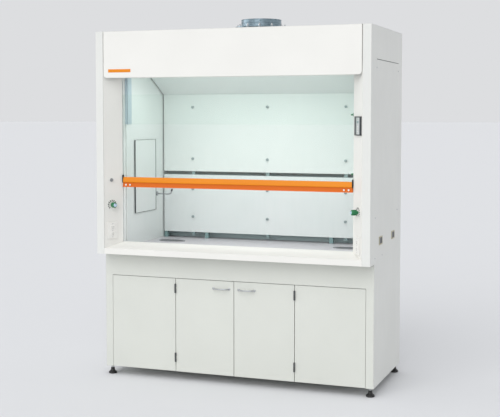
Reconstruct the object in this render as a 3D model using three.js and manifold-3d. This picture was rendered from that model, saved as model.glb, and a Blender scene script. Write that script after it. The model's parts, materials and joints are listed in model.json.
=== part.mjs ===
// Laboratory fume hood on a base cabinet: bench-top enclosure with a two-stage vertical sash,
// splayed service jambs, baffled plastic-lined chamber and a four-bay steel cabinet below.
// Millimetres. X runs across the front, Y from the front plane to the back, Z up from the floor.
import * as THREE from "three";
import { mergeVertices } from "three/addons/utils/BufferGeometryUtils.js";
import Module from "manifold-3d";

const wasm = await Module();
wasm.setup();

// ---------- driving dimensions ----------
const WIDTH = 1800;
const DEPTH = 850;
const ROOF_TOP = 2235;
const HOOD_BOTTOM = 812;
const CABINET_FRONT = 114;
const CABINET_BOTTOM = 55;
const HALF = WIDTH / 2;
const SHEET = 2;
const GAP = 0.3;

// splayed jambs behind the front corner columns
const COLUMN_WIDTH = 50;
const COLUMN_INNER = HALF - COLUMN_WIDTH;
const COLUMN_LIP = 12;
const JAMB_DEPTH = 108;
const JAMB_INSET = 81;
const JAMB_FACE = Math.hypot(JAMB_DEPTH, JAMB_INSET);
const OPENING_HALF = COLUMN_INNER - JAMB_INSET;
const JAMB_ANGLE = Math.atan2(JAMB_DEPTH, -JAMB_INSET);
const SERVICE_LINE = 58;
const SWITCH = { along: 55, z: 1287, radius: 9, clearance: 0.6 };

// header and sill
const HEADER_BOTTOM = 1941;
const HEADER_HALF = 844;
const HEADER_CORNER = 22;
const HEADER_SHELF_INSET = 38;
const HEADER_SHELF_DEPTH = 102;
const SILL_FRONT_TOP = 849;
const SILL_TOP = 882;
const SILL_DEPTH = 136;

// chamber
const WORKTOP_TOP = 846;
const WORKTOP_THICK = 20;
const LINER_HALF = 780;
const LINER_THICK = 6;
const LINER_FRONT = 174.3;
const BAFFLE_FRONT = 753;
const BAFFLE_HALF = 771;
const BAFFLE_THICK = 6;
const LOWER_BAFFLE = [888, 1290];
const UPPER_BAFFLE = [1314, 1848];
const CEILING_SLOPE = 28.8 * (Math.PI / 180);
const CEILING_FRONT = 178;
const RAIL_COLUMNS = [-550, 0, 550];
const STUD_ROWS = [996, 1190, 1402, 1760];
const BAFFLE_LEGS = [-760, -450, 450, 760];
const SASH_PAD = { y: [184, 256], z: [1645, 2090], thick: 4 };
const ACCESS = { y: [305, 620], z: [1052, 1538], thick: 5.2, overlap: 16 };

// cup sinks let into the worktop
const CUP = { x: 618, y: 545, rimX: 95, rimY: 45, wall: 4, depth: 100, tail: 20, tailLength: 60 };

// two-stage sash and its counterweights
const GLASS_Y = [114, 119];
const GLASS_HALF = 778;
const GLASS_THICK = GLASS_Y[1] - GLASS_Y[0];
const SASH_PLANE = (GLASS_Y[0] + GLASS_Y[1]) / 2;
const RAIL_BOTTOM = 1240;
const RAIL_STEP = 1268;
const RAIL_TOP = 1304;
const LOWER_GLASS_TOP = 1836;
const UPPER_SASH = {
  bottom: 1645,
  top: 2216,
  y: [152.5, 163.5],
  stile: 23,
  half: 780,
  glassY: [155.5, 160.5],
};
const GUIDE = { outer: 800, y: [108.8, 172], top: 2140, grooveOuter: 790, rearGrooveOuter: 782 };
const CABLE_X = 786;
const CABLE_RADIUS = 2;
const PULLEY_RADIUS = 35;
const PULLEY_X = CABLE_X + PULLEY_RADIUS;
const PULLEY_Z = 2190;
const WEIGHT_X = PULLEY_X + PULLEY_RADIUS;
const WEIGHT_SIDE = 48;
const WEIGHT_Z = [1260, 1738];
const RUNNER_TOP = 1760;

// base cabinet
const DOOR_DEPTH = 16;
const DOOR_GAP = 2;
const BAY_LINE = 400;
const DOOR_TOP = 659;
const DOOR_BOTTOM = 57.5;
const APRON_BOTTOM = 662;
const FLOOR_TOP = 77;
const PARTITION_FRONT = SILL_DEPTH + 0.5;
const HINGE = { z: [149, 596], height: 55, y: 108.5, barrel: 5, pin: 2.5, bore: 2.85, slit: 0.4 };
const HANDLE = { inner: 33, outer: 137, z: 610, reach: 36, radius: 4.5 };
const FOOT = { x: 872, y: [148, 815], radius: 27 };

// duct collar on the roof
const COLLAR = {
  y: 629,
  bore: 130.5,
  outer: 132.5,
  foot: 150,
  footThick: 2,
  flange: 175,
  flangeRise: 46,
  flangeThick: 4,
  height: 98,
};

// ---------- finishes ----------
const FINISHES = {
  whiteSteel: { color: 0xeeefeb, roughness: 0.45, metalness: 0.0 },
  casingSteel: { color: 0xe2e3de, roughness: 0.45, metalness: 0.0 },
  cabinetSteel: { color: 0xdbdcd6, roughness: 0.5, metalness: 0.0 },
  liner: { color: 0xd9e4df, roughness: 0.4, metalness: 0.0 },
  worktop: { color: 0xc8c5c9, roughness: 0.45, metalness: 0.0 },
  glass: { color: 0xe6f2ef, roughness: 0.05, metalness: 0.0, transparent: true, opacity: 0.25 },
  orange: { color: 0xe9862a, roughness: 0.4, metalness: 0.1 },
  blackPlastic: { color: 0x151515, roughness: 0.5, metalness: 0.0 },
  aluminium: { color: 0xb4c4cc, roughness: 0.35, metalness: 0.8 },
  steel: { color: 0x8d9193, roughness: 0.35, metalness: 0.9 },
  galvanised: { color: 0x9fb3c2, roughness: 0.4, metalness: 0.8 },
  castIron: { color: 0x4b4d50, roughness: 0.7, metalness: 0.6 },
  nylon: { color: 0xe4e4de, roughness: 0.5, metalness: 0.0 },
  green: { color: 0x1f7a3f, roughness: 0.4, metalness: 0.0 },
  framePlastic: { color: 0x8fa5a5, roughness: 0.5, metalness: 0.0 },
  greyPlastic: { color: 0xb9bcba, roughness: 0.5, metalness: 0.0 },
  darkPlastic: { color: 0x3b4041, roughness: 0.5, metalness: 0.0 },
  cup: { color: 0x9a9da0, roughness: 0.4, metalness: 0.0 },
};

// ---------- scene graph ----------
const hood = new THREE.Group();
hood.position.y = -DEPTH / 2;
const sides = { right: new THREE.Group(), left: new THREE.Group() };
const jambs = { right: new THREE.Group(), left: new THREE.Group() };
sides.left.scale.x = -1;
for (const side of ["right", "left"]) {
  hood.add(sides[side]);
  sides[side].add(jambs[side]);
  jambs[side].position.x = COLUMN_INNER;
  jambs[side].rotation.z = JAMB_ANGLE;
}

function add(name, geometry, finish, parent = hood) {
  const mesh = new THREE.Mesh(geometry, new THREE.MeshStandardMaterial(FINISHES[finish]));
  mesh.name = name;
  parent.add(mesh);
}

// One piece for each side, the left one a mirror image of the right one.
function addPair(name, geometry, finish, parents = sides) {
  add(`${name}_right`, geometry, finish, parents.right);
  add(`${name}_left`, geometry, finish, parents.left);
}

// ---------- shape helpers ----------
function block([x0, x1], [y0, y1], [z0, z1]) {
  const geometry = new THREE.BoxGeometry(x1 - x0, y1 - y0, z1 - z0);
  return geometry.translate((x0 + x1) / 2, (y0 + y1) / 2, (z0 + z1) / 2);
}

function outline(points) {
  return new THREE.Shape(points.map(([a, b]) => new THREE.Vector2(a, b)));
}

function prism(shape, from, to, curveSegments) {
  const options = { depth: to - from, bevelEnabled: false, curveSegments };
  return new THREE.ExtrudeGeometry(shape, options).translate(0, 0, from);
}

// A shape drawn in X and Y, standing between two heights.
function alongZ(shape, from, to, curveSegments = 12) {
  return prism(shape, from, to, curveSegments);
}

// A shape drawn in X and Z, running between two depths.
function alongY(shape, from, to, curveSegments = 12) {
  return prism(shape, -to, -from, curveSegments).rotateX(Math.PI / 2);
}

// A shape drawn in Y and Z, running between two places across the width.
function alongX(shape, from, to, curveSegments = 12) {
  return prism(shape, from, to, curveSegments).rotateX(Math.PI / 2).rotateZ(Math.PI / 2);
}

// A turned piece about Z from a closed profile of radius and height.
function turned(profile, segments) {
  const points = profile.map(([r, z]) => new THREE.Vector2(r, z));
  if (THREE.ShapeUtils.area(points) < 0) {
    points.reverse();
  }
  points.push(points[0].clone());
  return new THREE.LatheGeometry(points, segments).rotateX(Math.PI / 2);
}

// A round bar along a curve.
function bar(curve, radius, facets, steps) {
  const section = new THREE.Shape();
  section.absarc(0, 0, radius, 0, 2 * Math.PI);
  return new THREE.ExtrudeGeometry(section, { steps, curveSegments: facets / 2, extrudePath: curve });
}

function disc(x, y, radius) {
  const shape = new THREE.Shape();
  shape.absarc(x, y, radius, 0, 2 * Math.PI);
  return shape;
}

function oval(x, y, rx, ry) {
  const shape = new THREE.Shape();
  shape.absellipse(x, y, rx, ry, 0, 2 * Math.PI);
  return shape;
}

function solidOf(geometry) {
  const bare = geometry.clone();
  bare.deleteAttribute("normal");
  bare.deleteAttribute("uv");
  const merged = mergeVertices(bare, 1e-4);
  const vertProperties = new Float32Array(merged.attributes.position.array);
  const triVerts = new Uint32Array(merged.index.array);
  return new wasm.Manifold(new wasm.Mesh({ numProp: 3, vertProperties, triVerts }));
}

function geometryOf(solid) {
  const mesh = solid.getMesh();
  const positions = [];
  for (let i = 0; i < mesh.numVert; i++) {
    positions.push(...mesh.vertProperties.slice(i * mesh.numProp, i * mesh.numProp + 3));
  }
  const geometry = new THREE.BufferGeometry();
  geometry.setAttribute("position", new THREE.Float32BufferAttribute(positions, 3));
  geometry.setIndex([...mesh.triVerts]);
  const flat = geometry.toNonIndexed();
  flat.computeVertexNormals();
  return flat;
}

function joined(...geometries) {
  return geometryOf(geometries.map(solidOf).reduce((whole, piece) => whole.add(piece)));
}

function cut(geometry, ...tools) {
  return geometryOf(tools.map(solidOf).reduce((left, tool) => left.subtract(tool), solidOf(geometry)));
}

// A sheet-metal pan: front skin with folded edges, open at the back.
function pan(x, y, z) {
  const inside = ([from, to]) => [from + SHEET, to - SHEET];
  return cut(block(x, y, z), block(inside(x), [y[0] + SHEET, y[1] + 1], inside(z)));
}

// ---------- outer casing ----------
function sidePanel() {
  const height = [CABINET_BOTTOM, ROOF_TOP - SHEET - GAP];
  return block([HALF - SHEET, HALF], [CABINET_FRONT + GAP, DEPTH], height);
}

function rearPanel() {
  const across = HALF - SHEET - GAP;
  return block([-across, across], [DEPTH - SHEET, DEPTH], [CABINET_BOTTOM, ROOF_TOP - SHEET - GAP]);
}

function roofPanel() {
  const plate = block([-HALF, HALF], [0, DEPTH], [ROOF_TOP - SHEET, ROOF_TOP]);
  const hole = alongZ(disc(0, COLLAR.y, COLLAR.bore), ROOF_TOP - 10, ROOF_TOP + 10, 24);
  return cut(plate, hole);
}

// Folded corner column: front face, outer flank and an inner lip, closed at the foot.
function cornerColumn() {
  const channel = outline([
    [COLUMN_INNER, 0],
    [HALF, 0],
    [HALF, CABINET_FRONT],
    [HALF - SHEET, CABINET_FRONT],
    [HALF - SHEET, SHEET],
    [COLUMN_INNER + SHEET, SHEET],
    [COLUMN_INNER + SHEET, COLUMN_LIP],
    [COLUMN_INNER, COLUMN_LIP],
  ]);
  const foot = block([COLUMN_INNER, HALF], [0, CABINET_FRONT - GAP], [HOOD_BOTTOM, HOOD_BOTTOM + SHEET]);
  return joined(alongZ(channel, HOOD_BOTTOM, ROOF_TOP - SHEET - GAP), foot);
}

// Jamb plate in its own frame: X along the splayed face, Y out of it, Z up.
function jambPlate() {
  const near = 3;
  const far = JAMB_FACE - 1;
  const rise = (along) => SILL_FRONT_TOP + ((SILL_TOP - SILL_FRONT_TOP) * along) / JAMB_FACE + 2 * GAP;
  const top = ROOF_TOP - SHEET - 2 * GAP;
  const face = outline([
    [near, rise(near)],
    [far, rise(far)],
    [far, top],
    [near, top],
  ]);
  return alongY(face, -SHEET, 0);
}

// Jamb plate with the clearance hole for the lamp switch.
function switchPlate() {
  const hole = disc(SWITCH.along, SWITCH.z, SWITCH.radius + SWITCH.clearance);
  return cut(jambPlate(), alongY(hole, -SHEET - 1, 1, 12));
}

function headerPanel() {
  const top = ROOF_TOP - SHEET - GAP;
  const face = new THREE.Shape();
  const arcCentre = HEADER_HALF - HEADER_CORNER;
  const arcHeight = HEADER_BOTTOM + HEADER_CORNER;
  face.moveTo(-HEADER_HALF, top);
  face.lineTo(-HEADER_HALF, arcHeight);
  face.absarc(-arcCentre, arcHeight, HEADER_CORNER, Math.PI, 1.5 * Math.PI);
  face.absarc(arcCentre, arcHeight, HEADER_CORNER, 1.5 * Math.PI, 2 * Math.PI);
  face.lineTo(HEADER_HALF, top);
  const shelfFront = HEADER_HALF - HEADER_SHELF_INSET;
  const shelfBack = OPENING_HALF - 3;
  const shelf = outline([
    [-shelfFront, 1],
    [shelfFront, 1],
    [shelfBack, HEADER_SHELF_DEPTH],
    [-shelfBack, HEADER_SHELF_DEPTH],
  ]);
  const lip = block([-shelfFront, shelfFront], [1, 40], [top - SHEET, top]);
  return joined(alongY(face, 0, SHEET), alongZ(shelf, HEADER_BOTTOM, HEADER_BOTTOM + SHEET), lip);
}

// Hollow sill: upright front edge, sloping lead-in and a flat seat under the sash.
function sillPanel() {
  const section = outline([
    [0, HOOD_BOTTOM],
    [SILL_DEPTH, HOOD_BOTTOM],
    [SILL_DEPTH, SILL_TOP],
    [JAMB_DEPTH, SILL_TOP],
    [0, SILL_FRONT_TOP],
  ]);
  section.holes.push(
    outline([
      [SHEET, HOOD_BOTTOM + SHEET],
      [SILL_DEPTH - SHEET, HOOD_BOTTOM + SHEET],
      [SILL_DEPTH - SHEET, SILL_TOP - SHEET],
      [JAMB_DEPTH, SILL_TOP - SHEET],
      [SHEET, SILL_FRONT_TOP - SHEET],
    ]),
  );
  return alongX(section, -COLUMN_INNER + GAP, COLUMN_INNER - GAP);
}

// Short neck on a foot ring, a bolting flange round it and the spigot for the duct above.
function ductCollar() {
  const base = ROOF_TOP + GAP;
  const flangeUnder = base + COLLAR.flangeRise;
  const flangeTop = flangeUnder + COLLAR.flangeThick;
  const profile = [
    [COLLAR.bore, base],
    [COLLAR.foot, base],
    [COLLAR.foot, base + COLLAR.footThick],
    [COLLAR.outer, base + COLLAR.footThick],
    [COLLAR.outer, flangeUnder],
    [COLLAR.flange, flangeUnder],
    [COLLAR.flange, flangeTop],
    [COLLAR.outer, flangeTop],
    [COLLAR.outer, base + COLLAR.height],
    [COLLAR.bore, base + COLLAR.height],
  ];
  return turned(profile, 56).translate(0, COLLAR.y, 0);
}

addPair("side_panel", sidePanel(), "casingSteel");
add("rear_panel", rearPanel(), "casingSteel");
add("roof_panel", roofPanel(), "casingSteel");
addPair("corner_column", cornerColumn(), "casingSteel");
add("jamb_panel_right", jambPlate(), "whiteSteel", jambs.right);
add("jamb_panel_left", switchPlate(), "whiteSteel", jambs.left);
add("header_panel", headerPanel(), "whiteSteel");
add("sill_panel", sillPanel(), "whiteSteel");
add("duct_collar", ductCollar(), "galvanised");

// ---------- chamber lining ----------
function worktop() {
  const across = HALF - SHEET - GAP;
  const slab = block(
    [-across, across],
    [SILL_DEPTH + GAP, DEPTH - SHEET - GAP],
    [WORKTOP_TOP - WORKTOP_THICK, WORKTOP_TOP],
  );
  const holes = [-CUP.x, CUP.x].map((x) =>
    alongZ(oval(x, CUP.y, CUP.rimX - 6, CUP.rimY - 6), WORKTOP_TOP - 30, WORKTOP_TOP + 5),
  );
  return cut(slab, ...holes);
}

// Oval drip cup: rim on the worktop, bowl below it and an open tail for the trap.
function cupSink() {
  const seat = WORKTOP_TOP + GAP;
  const bowlX = CUP.rimX - 8;
  const bowlY = CUP.rimY - 8;
  const floor = seat - CUP.depth;
  const rim = alongZ(oval(CUP.x, CUP.y, CUP.rimX, CUP.rimY), seat, seat + CUP.wall);
  const body = alongZ(oval(CUP.x, CUP.y, bowlX, bowlY), floor, seat + 1);
  const tail = alongZ(disc(CUP.x, CUP.y, CUP.tail), floor - CUP.tailLength, floor + 1);
  const inside = oval(CUP.x, CUP.y, bowlX - CUP.wall, bowlY - CUP.wall);
  const bowl = alongZ(inside, floor + CUP.wall, seat + CUP.wall + 1);
  const hole = disc(CUP.x, CUP.y, CUP.tail - CUP.wall);
  const bore = alongZ(hole, floor - CUP.tailLength - 1, floor + CUP.wall + 1);
  return cut(joined(rim, body, tail), bowl, bore);
}

function studHoles(rows) {
  return RAIL_COLUMNS.flatMap((x) =>
    rows.map((z) => alongY(disc(x, z, 5.2), BAFFLE_FRONT - 1, BAFFLE_FRONT + BAFFLE_THICK + 1, 6)),
  );
}

function lowerBaffle() {
  const depth = [BAFFLE_FRONT, BAFFLE_FRONT + BAFFLE_THICK];
  const plate = block([-BAFFLE_HALF, BAFFLE_HALF], depth, LOWER_BAFFLE);
  const legHeight = [WORKTOP_TOP + GAP, LOWER_BAFFLE[0] + 20];
  const legs = BAFFLE_LEGS.map((x) =>
    block([x - 12, x + 12], [BAFFLE_FRONT + 4, BAFFLE_FRONT + 30], legHeight),
  );
  return cut(joined(plate, ...legs), ...studHoles(STUD_ROWS.slice(0, 2)));
}

function upperBaffle() {
  const depth = [BAFFLE_FRONT, BAFFLE_FRONT + BAFFLE_THICK];
  const plate = block([-BAFFLE_HALF, BAFFLE_HALF], depth, UPPER_BAFFLE);
  return cut(plate, ...studHoles(STUD_ROWS.slice(2)));
}

// Height of the sloping ceiling's lower face at a depth.
function ceilingHeight(y) {
  return UPPER_BAFFLE[1] + GAP + (BAFFLE_FRONT - y) * Math.tan(CEILING_SLOPE);
}

// Outline of a slab laid along the ceiling slope, between two offsets from its lower face.
function ceilingStrip(yBack, yFront, low, high) {
  const along = (y, offset) => [
    y + offset * Math.sin(CEILING_SLOPE),
    ceilingHeight(y) + offset * Math.cos(CEILING_SLOPE),
  ];
  return outline([along(yBack, low), along(yFront, low), along(yFront, high), along(yBack, high)]);
}

function ceilingPanel() {
  return alongX(ceilingStrip(BAFFLE_FRONT, CEILING_FRONT, 0, BAFFLE_THICK), -BAFFLE_HALF, BAFFLE_HALF);
}

// Weather-sealed lamp hung against the underside of the ceiling panel.
function lamp() {
  const housing = alongX(ceilingStrip(330, 240, -45, -GAP), -620, 620);
  const diffuser = alongX(ceilingStrip(318, 252, -62, -44), -600, 600);
  return joined(housing, diffuser);
}

// Frame behind the baffles: three uprights, two ties, wall stand-offs and the clamping studs.
function baffleFrame() {
  const back = BAFFLE_FRONT + BAFFLE_THICK + GAP;
  const pieces = [1075, 1560].map((z) => block([-562, 562], [back, back + 20], [z, z + 20]));
  for (const x of RAIL_COLUMNS) {
    pieces.push(block([x - 12, x + 12], [back, back + 20], [870, 1835]));
    for (const z of [900, 1330, 1790]) {
      pieces.push(block([x - 12, x + 12], [back + 19, DEPTH - SHEET - GAP], [z, z + 20]));
    }
    for (const z of STUD_ROWS) {
      pieces.push(alongY(disc(x, z, 4.5), BAFFLE_FRONT - 4, back + 1, 6));
      pieces.push(alongY(disc(x, z, 9), BAFFLE_FRONT - 8, BAFFLE_FRONT - GAP, 6));
    }
  }
  return joined(...pieces);
}

// Side lining with the raised pad that the upper sash stile passes and the hole behind the access panel.
function sideLiner() {
  const wall = block(
    [LINER_HALF, LINER_HALF + LINER_THICK],
    [LINER_FRONT, DEPTH - SHEET - GAP],
    [WORKTOP_TOP + GAP, ROOF_TOP - SHEET - 2 * GAP],
  );
  const pad = block([LINER_HALF - SASH_PAD.thick, LINER_HALF + 1], SASH_PAD.y, SASH_PAD.z);
  const hole = block(
    [LINER_HALF - 1, LINER_HALF + LINER_THICK + 1],
    [ACCESS.y[0] + ACCESS.overlap, ACCESS.y[1] - ACCESS.overlap],
    [ACCESS.z[0] + ACCESS.overlap, ACCESS.z[1] - ACCESS.overlap],
  );
  return cut(joined(wall, pad), hole);
}

function accessPanel() {
  return block([LINER_HALF - GAP - ACCESS.thick, LINER_HALF - GAP], ACCESS.y, ACCESS.z);
}

add("worktop", worktop(), "worktop");
addPair("cup_sink", cupSink(), "cup");
add("baffle_lower", lowerBaffle(), "liner");
add("baffle_upper", upperBaffle(), "liner");
add("ceiling_panel", ceilingPanel(), "liner");
add("baffle_frame", baffleFrame(), "framePlastic");
addPair("side_liner", sideLiner(), "liner");
addPair("access_panel", accessPanel(), "liner");
add("lamp", lamp(), "nylon");

// ---------- sash, guides and counterbalance ----------
// Twin-groove guide with the pulley plate and axle at its head.
function sashGuide() {
  const section = outline([
    [OPENING_HALF, GUIDE.y[0]],
    [GUIDE.outer, GUIDE.y[0]],
    [GUIDE.outer, GUIDE.y[1]],
    [OPENING_HALF, GUIDE.y[1]],
    [OPENING_HALF, UPPER_SASH.y[1] + 1.5],
    [GUIDE.rearGrooveOuter, UPPER_SASH.y[1] + 1.5],
    [GUIDE.rearGrooveOuter, UPPER_SASH.y[0] - 1.5],
    [OPENING_HALF, UPPER_SASH.y[0] - 1.5],
    [OPENING_HALF, GLASS_Y[1] + 2.2],
    [GUIDE.grooveOuter, GLASS_Y[1] + 2.2],
    [GUIDE.grooveOuter, GLASS_Y[0] - 2.2],
    [OPENING_HALF, GLASS_Y[0] - 2.2],
  ]);
  const track = alongZ(section, SILL_TOP + GAP, GUIDE.top);
  const plate = block([GUIDE.grooveOuter + 2, PULLEY_X + 29], [125, 129], [GUIDE.top - 45, ROOF_TOP - 7]);
  const axle = alongY(disc(PULLEY_X, PULLEY_Z, 5), SASH_PLANE - 8, 126, 12);
  const cap = alongY(disc(PULLEY_X, PULLEY_Z, 8), SASH_PLANE - 11, SASH_PLANE - 7.5, 8);
  return joined(track, plate, axle, cap);
}

function pulley() {
  const half = 6;
  const profile = [
    [5.4, -half],
    [PULLEY_RADIUS + 4, -half],
    [PULLEY_RADIUS + 4, -4.5],
    [PULLEY_RADIUS - 3.5, -2.8],
    [PULLEY_RADIUS - 3.5, 2.8],
    [PULLEY_RADIUS + 4, 4.5],
    [PULLEY_RADIUS + 4, half],
    [5.4, half],
  ];
  return turned(profile, 32).rotateX(Math.PI / 2).translate(PULLEY_X, SASH_PLANE, PULLEY_Z);
}

function counterweight() {
  const reach = WEIGHT_SIDE / 2;
  return block([WEIGHT_X - reach, WEIGHT_X + reach], [SASH_PLANE - reach, SASH_PLANE + reach], WEIGHT_Z);
}

// Cable from the sash runner, over the pulley and down to the counterweight.
function sashCable() {
  const point = (x, z) => new THREE.Vector3(x, SASH_PLANE, z);
  const route = new THREE.CurvePath();
  const over = [];
  for (let i = 0; i <= 12; i++) {
    const angle = Math.PI * (1 - i / 12);
    const across = PULLEY_RADIUS * Math.cos(angle);
    over.push(point(PULLEY_X + across, PULLEY_Z + PULLEY_RADIUS * Math.sin(angle)));
  }
  route.add(new THREE.LineCurve3(point(CABLE_X, RUNNER_TOP + GAP), over[0]));
  for (let i = 0; i < 12; i++) {
    route.add(new THREE.LineCurve3(over[i], over[i + 1]));
  }
  route.add(new THREE.LineCurve3(over[12], point(WEIGHT_X, WEIGHT_Z[1] + GAP)));
  return bar(route, CABLE_RADIUS, 8, 72);
}

function lowerGlass() {
  return block([-GLASS_HALF, GLASS_HALF], GLASS_Y, [RAIL_BOTTOM + 22, LOWER_GLASS_TOP]);
}

// Orange grip rail: projecting upper bead, recessed finger groove below it, slot for the glass.
function sashRail() {
  const lower = outline([
    [101, RAIL_BOTTOM],
    [124, RAIL_BOTTOM],
    [124, RAIL_STEP],
    [106, RAIL_STEP],
    [106, RAIL_BOTTOM + 7],
  ]);
  const upper = outline([
    [98, RAIL_STEP + 4],
    [106, RAIL_STEP - 0.5],
    [124, RAIL_STEP - 0.5],
    [124, RAIL_TOP],
    [104, RAIL_TOP],
    [98, RAIL_STEP + 8],
  ]);
  const slotDepth = [GLASS_Y[0] - 0.4, GLASS_Y[1] + 0.4];
  const slot = block([-HALF, HALF], slotDepth, [RAIL_BOTTOM + 21.6, RAIL_TOP + 1]);
  return cut(joined(alongX(lower, -766, 766), alongX(upper, -762, 762)), slot);
}

// Black end shoe of the rail with the runner strip that rides in the guide groove.
function sashRunner() {
  const reach = CABLE_X + 3.5;
  const low = RAIL_STEP + 7;
  const front = GLASS_Y[0] - 1.9;
  const back = GLASS_Y[0] - GAP;
  const shoe = block([762.4, OPENING_HALF - 0.5], [99, back], [RAIL_STEP + 1, RAIL_TOP + 14]);
  const tongue = block([763, reach], [front, back], [low, RAIL_TOP + 11]);
  const strip = block([GLASS_HALF + GAP, reach], [front, GLASS_Y[1] + 1.8], [low, RUNNER_TOP]);
  return joined(shoe, tongue, strip);
}

function upperGlass() {
  const half = UPPER_SASH.half - UPPER_SASH.stile + 14;
  return block([-half, half], UPPER_SASH.glassY, [UPPER_SASH.bottom, UPPER_SASH.top - 4]);
}

function upperFrame() {
  const { bottom, top, half, stile, y, glassY } = UPPER_SASH;
  const inner = half - stile;
  const face = outline([
    [-half, bottom],
    [-inner, bottom],
    [-inner, top - 20],
    [inner, top - 20],
    [inner, bottom],
    [half, bottom],
    [half, top],
    [-half, top],
  ]);
  const slotHalf = inner + 14 + GAP;
  const slotDepth = [glassY[0] - GAP, glassY[1] + GAP];
  const slot = block([-slotHalf, slotHalf], slotDepth, [bottom - 1, top - 4 + GAP]);
  return cut(alongY(face, y[0], y[1]), slot);
}

addPair("sash_guide", sashGuide(), "nylon");
addPair("pulley", pulley(), "steel");
addPair("counterweight", counterweight(), "castIron");
addPair("sash_cable", sashCable(), "steel");
add("lower_sash_glass", lowerGlass(), "glass");
add("sash_rail", sashRail(), "orange");
addPair("sash_runner", sashRunner(), "blackPlastic");
add("upper_sash_glass", upperGlass(), "glass");
add("upper_sash_frame", upperFrame(), "aluminium");

// ---------- services on the jambs and chamber walls ----------
// Pieces on a jamb are drawn in the jamb's frame: X along the face, Y out of it, Z up.
function valveKnob() {
  const profile = [
    [0, 1],
    [9, 1],
    [9, 12],
    [17, 14],
    [17, 40],
    [13, 46],
    [0, 46],
  ];
  return turned(profile, 20).rotateX(-Math.PI / 2).translate(SERVICE_LINE, 0, 1127);
}

// Push button set through the jamb plate.
function lampSwitch() {
  const profile = [
    [0, -6],
    [SWITCH.radius, -6],
    [SWITCH.radius, 7],
    [SWITCH.radius - 2, 9],
    [0, 9],
  ];
  return turned(profile, 20).rotateX(-Math.PI / 2).translate(SWITCH.along, 0, SWITCH.z);
}

function outletPlate(z) {
  return block([SERVICE_LINE - 34, SERVICE_LINE + 34], [GAP, 7], z);
}

function airflowMonitor() {
  return block([12, 102], [GAP, 9], [1583, 1696]);
}

// Wall nozzle drawn along +Z: flange, barrel, hand knob and hose barb.
function wallNozzle() {
  const profile = [
    [0, 0],
    [15, 0],
    [15, 5],
    [7, 7],
    [7, 24],
    [12, 26],
    [12, 42],
    [6, 44],
    [4.5, 58],
    [0, 58],
  ];
  return turned(profile, 16);
}

// Long-armed spout on the left wall: wall flange, level arm and a short upturned barb.
function serviceSpout() {
  const flange = turned(
    [
      [0, 0],
      [15, 0],
      [15, 6],
      [8, 9],
      [0, 9],
    ],
    16,
  ).rotateY(Math.PI / 2);
  const route = new THREE.CatmullRomCurve3([
    new THREE.Vector3(4, 0, 0),
    new THREE.Vector3(50, 0, -1),
    new THREE.Vector3(92, 0, -2),
    new THREE.Vector3(108, 0, 4),
    new THREE.Vector3(114, 0, 24),
  ]);
  return joined(flange, bar(route, 5, 10, 24));
}

addPair("valve_knob", valveKnob(), "green", jambs);
add("lamp_switch", lampSwitch(), "greyPlastic", jambs.left);
add("outlet_plate_left", outletPlate([908, 1016]), "nylon", jambs.left);
add("outlet_plate_right", outletPlate([876, 984]), "nylon", jambs.right);
add("airflow_monitor", airflowMonitor(), "darkPlastic", jambs.right);
const nozzleSeats = [
  ["upper", LINER_HALF - SASH_PAD.thick, 1706],
  ["lower", LINER_HALF, 1343],
];
for (const [level, wall, z] of nozzleSeats) {
  const nozzle = wallNozzle().rotateY(-Math.PI / 2).translate(wall - GAP, 240, z);
  add(`wall_nozzle_${level}`, nozzle, "green");
}
add("service_spout", serviceSpout().translate(-LINER_HALF + GAP, 646, 1160), "steel");

// ---------- base cabinet ----------
// Apron and stiles as one folded portal round the door bays.
function faceFrame() {
  const outer = HALF - SHEET - GAP;
  const top = HOOD_BOTTOM - GAP;
  const portal = (inner, head) =>
    outline([
      [outer, CABINET_BOTTOM],
      [outer, top],
      [-outer, top],
      [-outer, CABINET_BOTTOM],
      [-inner, CABINET_BOTTOM],
      [-inner, head],
      [inner, head],
      [inner, CABINET_BOTTOM],
    ]);
  const skin = alongY(portal(COLUMN_INNER, APRON_BOTTOM), CABINET_FRONT, CABINET_FRONT + SHEET);
  const foldDepth = [CABINET_FRONT + 1, CABINET_FRONT + DOOR_DEPTH];
  const foldOuter = COLUMN_INNER + SHEET;
  const foldTop = APRON_BOTTOM + SHEET;
  const folds = [
    block([-foldOuter, foldOuter], foldDepth, [APRON_BOTTOM, foldTop]),
    block([COLUMN_INNER, foldOuter], foldDepth, [CABINET_BOTTOM, foldTop]),
    block([-foldOuter, -COLUMN_INNER], foldDepth, [CABINET_BOTTOM, foldTop]),
  ];
  return joined(skin, ...folds);
}

function cabinetFloor() {
  const across = HALF - SHEET - GAP;
  const depth = [PARTITION_FRONT, DEPTH - SHEET - GAP];
  const box = block([-across, across], depth, [CABINET_BOTTOM, FLOOR_TOP]);
  const hollow = block(
    [-across + SHEET, across - SHEET],
    [PARTITION_FRONT + SHEET, DEPTH - 2 * SHEET - GAP],
    [CABINET_BOTTOM - 1, FLOOR_TOP - SHEET],
  );
  return cut(box, hollow);
}

// Heights of a hinge's three knuckles, bottom to top.
function knuckles(centre) {
  const bottom = centre - HINGE.height / 2;
  const third = HINGE.height / 3;
  const half = HINGE.slit / 2;
  return [0, 1, 2].map((i) => [bottom + i * third + half, bottom + (i + 1) * third - half]);
}

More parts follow.
